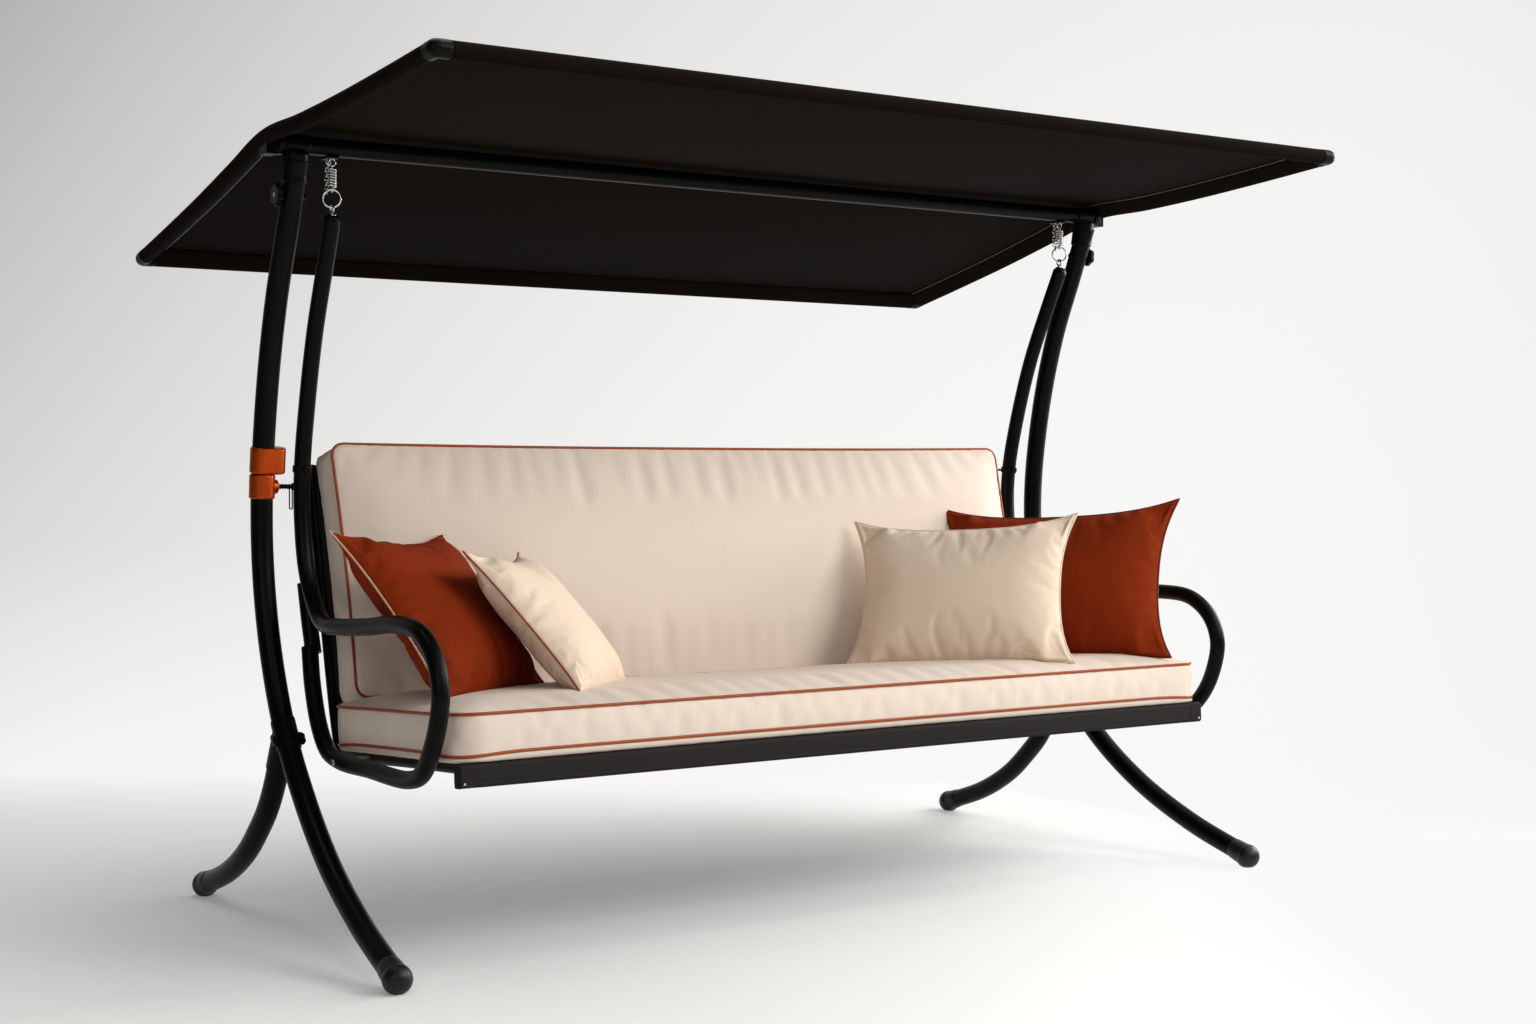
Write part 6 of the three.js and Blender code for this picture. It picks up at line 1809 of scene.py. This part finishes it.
def sweep_paint():
    """A matt pale floor that turns into a glow to the right, at the back and far from the lamps."""
    s = Shading("Studio sweep")
    across, depth, height = s.along(VIEW_ACROSS), s.along(VIEW_DEPTH), s.split(s.at)[2]
    # The glow is painted light, made darker upwards, towards the far sides and most in the upper left as painted shade
    painted_glow = 0.931 + across * 0.0253 - height * 0.0147 - across * across * 0.0108
    painted_glow = painted_glow - height * height * 0.0085 + across * height * 0.01
    # A painted pool of light low down on the left
    low = (1 - height * 1.4).clamped() * (across * -0.4).clamped()
    painted_glow = 0.45 + (painted_glow + low * 0.1 - 0.45).clamped()
    painted_glow_shader = s.node("ShaderNodeEmission", {
        "Color": s.blend(painted_glow, (0.0, 0.0, 0.0), (1.0, 0.995, 0.985)), "Strength": 1.0,
    })
    tint = s.blend(s.noise(s.at, 1.3), (0.79, 0.782, 0.771), (0.83, 0.822, 0.811))
    matt = s.node("ShaderNodeBsdfDiffuse", {"Color": tint})
    # The floor shows a fixed share of painted glow that lifts its cast shadows, and more of it towards the back and
    # the right, painted light in place of lamp light
    rise = ((depth - 0.75) * 0.62).clamped()
    beside = ((across - 0.5) * 1.1).clamped()
    share = 0.16 + rise * rise * (3 - rise * 2) + beside * beside * (3 - beside * 2) * 0.8
    # Beyond the lamps the camera sees the glow alone, so views from any side have a pale ground
    far = ((across * across - 9) * 0.1).clamped() + ((depth + 2.5) * -0.6).clamped()
    share = (share + far * s.node("ShaderNodeLightPath", output="Is Camera Ray")).clamped()
    s.put(s.output.inputs["Surface"], s.node("ShaderNodeMixShader", {0: share, 1: matt, 2: painted_glow_shader}))
    return s.material


def build_sweep():
    profile = [(-9.0, 0.0), (FLOOR_EDGE, 0.0)]
    profile += [(FLOOR_EDGE + WALL_BEND * math.sin(a), WALL_BEND - WALL_BEND * math.cos(a))
                for a in np.linspace(0.05, math.pi / 2, 32)]
    profile.append((FLOOR_EDGE + WALL_BEND, WALL_TOP))
    turn = Matrix.Rotation(-VIEW_TURN, 4, "Z")
    corners = [np.array(turn @ Vector((x, y, z))) / MM for y, z in profile for x in (-SWEEP_HALF, SWEEP_HALF)]
    faces = [(2 * i, 2 * i + 1, 2 * i + 3, 2 * i + 2) for i in range(len(profile) - 1)]
    sweep = mesh_object("studio_sweep", corners, faces)
    sweep.data.materials.append(sweep_paint())
    sweep.data.polygons.foreach_set("use_smooth", np.ones(len(faces), bool))


def build_room():
    """A dim room for light, a darker one for reflections and a pale one for the camera."""
    world = bpy.data.worlds.new("Soft room")
    world.use_nodes = True
    bpy.context.scene.world = world
    tree = world.node_tree
    path = tree.nodes.new("ShaderNodeLightPath")
    level, shown = tree.nodes.new("ShaderNodeMapRange"), tree.nodes.new("ShaderNodeMapRange")
    level.inputs["To Min"].default_value = ROOM_LIGHT
    level.inputs["To Max"].default_value = ROOM_GLOSS
    shown.inputs["To Max"].default_value = ROOM_SEEN
    ground = tree.nodes["Background"]
    ground.inputs["Color"].default_value = (1, 0.98, 0.965, 1)
    for source, target in (
        (path.outputs["Is Glossy Ray"], level.inputs["Value"]), (path.outputs["Is Camera Ray"], shown.inputs["Value"]),
        (level.outputs[0], shown.inputs["To Min"]), (shown.outputs[0], ground.inputs["Strength"]),
    ):
        tree.links.new(source, target)


def build_stage():
    """Pale floor that rises into a glowing backdrop, soft lamps and the photograph's camera."""
    build_sweep()
    build_room()
    for lamp in LAMPS:
        add_lamp(*lamp)
    data = bpy.data.cameras.new("Photograph")
    data.sensor_width = 36
    data.lens = PHOTO_FOCUS * data.sensor_width / PHOTO_WIDTH
    data.clip_start, data.clip_end = 0.1, 60
    camera = bpy.data.objects.new("Photograph", data)
    camera.location = (-2.991, -4.470, 1.0216)
    camera.rotation_euler = (math.radians(90 - 1.042), 0, math.radians(-34.61))
    bpy.context.scene.collection.objects.link(camera)
    bpy.context.scene.camera = camera
    bpy.context.scene.view_settings.view_transform = "Standard"


def add_lamp(name, place, target, size, power, colour):
    data = bpy.data.lights.new(name, "AREA")
    data.shape = "RECTANGLE"
    data.size, data.size_y = size
    data.energy = power
    data.color = colour
    made = bpy.data.objects.new(name, data)
    made.location = place
    made.rotation_mode = "QUATERNION"
    made.rotation_quaternion = (Vector(target) - Vector(place)).to_track_quat("-Z", "Y")
    bpy.context.scene.collection.objects.link(made)


# Operators and panel

class Builder(bpy.types.Operator):
    """Shared run of the builders below."""

    bl_options = {"REGISTER", "UNDO"}
    build = None

    def execute(self, context):
        if not PAINTS:
            mix_paints(context.scene.swing_finishes)
        type(self).build()
        return {"FINISHED"}


def operator(name, label, text, build):
    return type(f"SWING_OT_{name}", (Builder,), {
        "bl_idname": f"swing.{name}", "bl_label": label, "__doc__": text, "build": staticmethod(build),
    })


OPERATORS = [
    operator("stage", "Stage", "Adds the sweep, the lamps and the camera", build_stage),
    operator("stand", "Stand", "Adds posts, rear legs, ball feet and leg clamps", build_stand),
    operator("heads", "Crossbar and heads", "Adds the crossbar, post heads, hook plates and knobs", build_heads),
    operator("canopy_frame", "Canopy frame", "Adds the canopy's rails, bars, corner caps and clamps",
             build_canopy_frame),
    operator("canopy_cloth", "Canopy cloth", "Adds the canopy's cloth with its hems and stitches", build_canopy_cloth),
    operator("suspension", "Suspension", "Adds springs, chains, rings and eye bolts", build_suspension),
    operator("arm_hangers", "Arm hangers", "Adds the bent arm hangers and their stays", build_arm_hangers),
    operator("seat_frame", "Seat frame", "Adds the seat's and back's rails and bolts", build_seat_frame),
    operator("slings", "Slings", "Adds the seat's and back's slings", build_slings),
    operator("soft_goods", "Cushions and pillows", "Adds cushions and pillows with their piping", build_soft_goods),
    operator("brake", "Swing brake", "Adds the collar, clamp, plunger, spring and pull loop", build_brake),
]


class SWING_PT_panel(bpy.types.Panel):
    """Sizes, colours and builders of the swing seat."""

    bl_idname = "SWING_PT_panel"
    bl_label = "Canopy Swing Seat"
    bl_space_type = "VIEW_3D"
    bl_region_type = "UI"
    bl_category = "Swing Seat"

    def draw(self, context):
        for group in (context.scene.swing_finishes, context.scene.swing_sizes):
            box = self.layout.box()
            for key in group.__annotations__:
                box.prop(group, key)
        for made in OPERATORS:
            self.layout.operator(made.bl_idname)


CLASSES = [SwingFinishes, SwingSizes, *OPERATORS, SWING_PT_panel]


def register():
    for made in CLASSES:
        bpy.utils.register_class(made)
    bpy.types.Scene.swing_finishes = bpy.props.PointerProperty(type=SwingFinishes)
    bpy.types.Scene.swing_sizes = bpy.props.PointerProperty(type=SwingSizes)


def unregister():
    del bpy.types.Scene.swing_sizes
    del bpy.types.Scene.swing_finishes
    for made in reversed(CLASSES):
        bpy.utils.unregister_class(made)


def main():
    register()
    for made in OPERATORS:
        group, name = made.bl_idname.split(".")
        getattr(getattr(bpy.ops, group), name)()


if __name__ == "__main__":
    main()
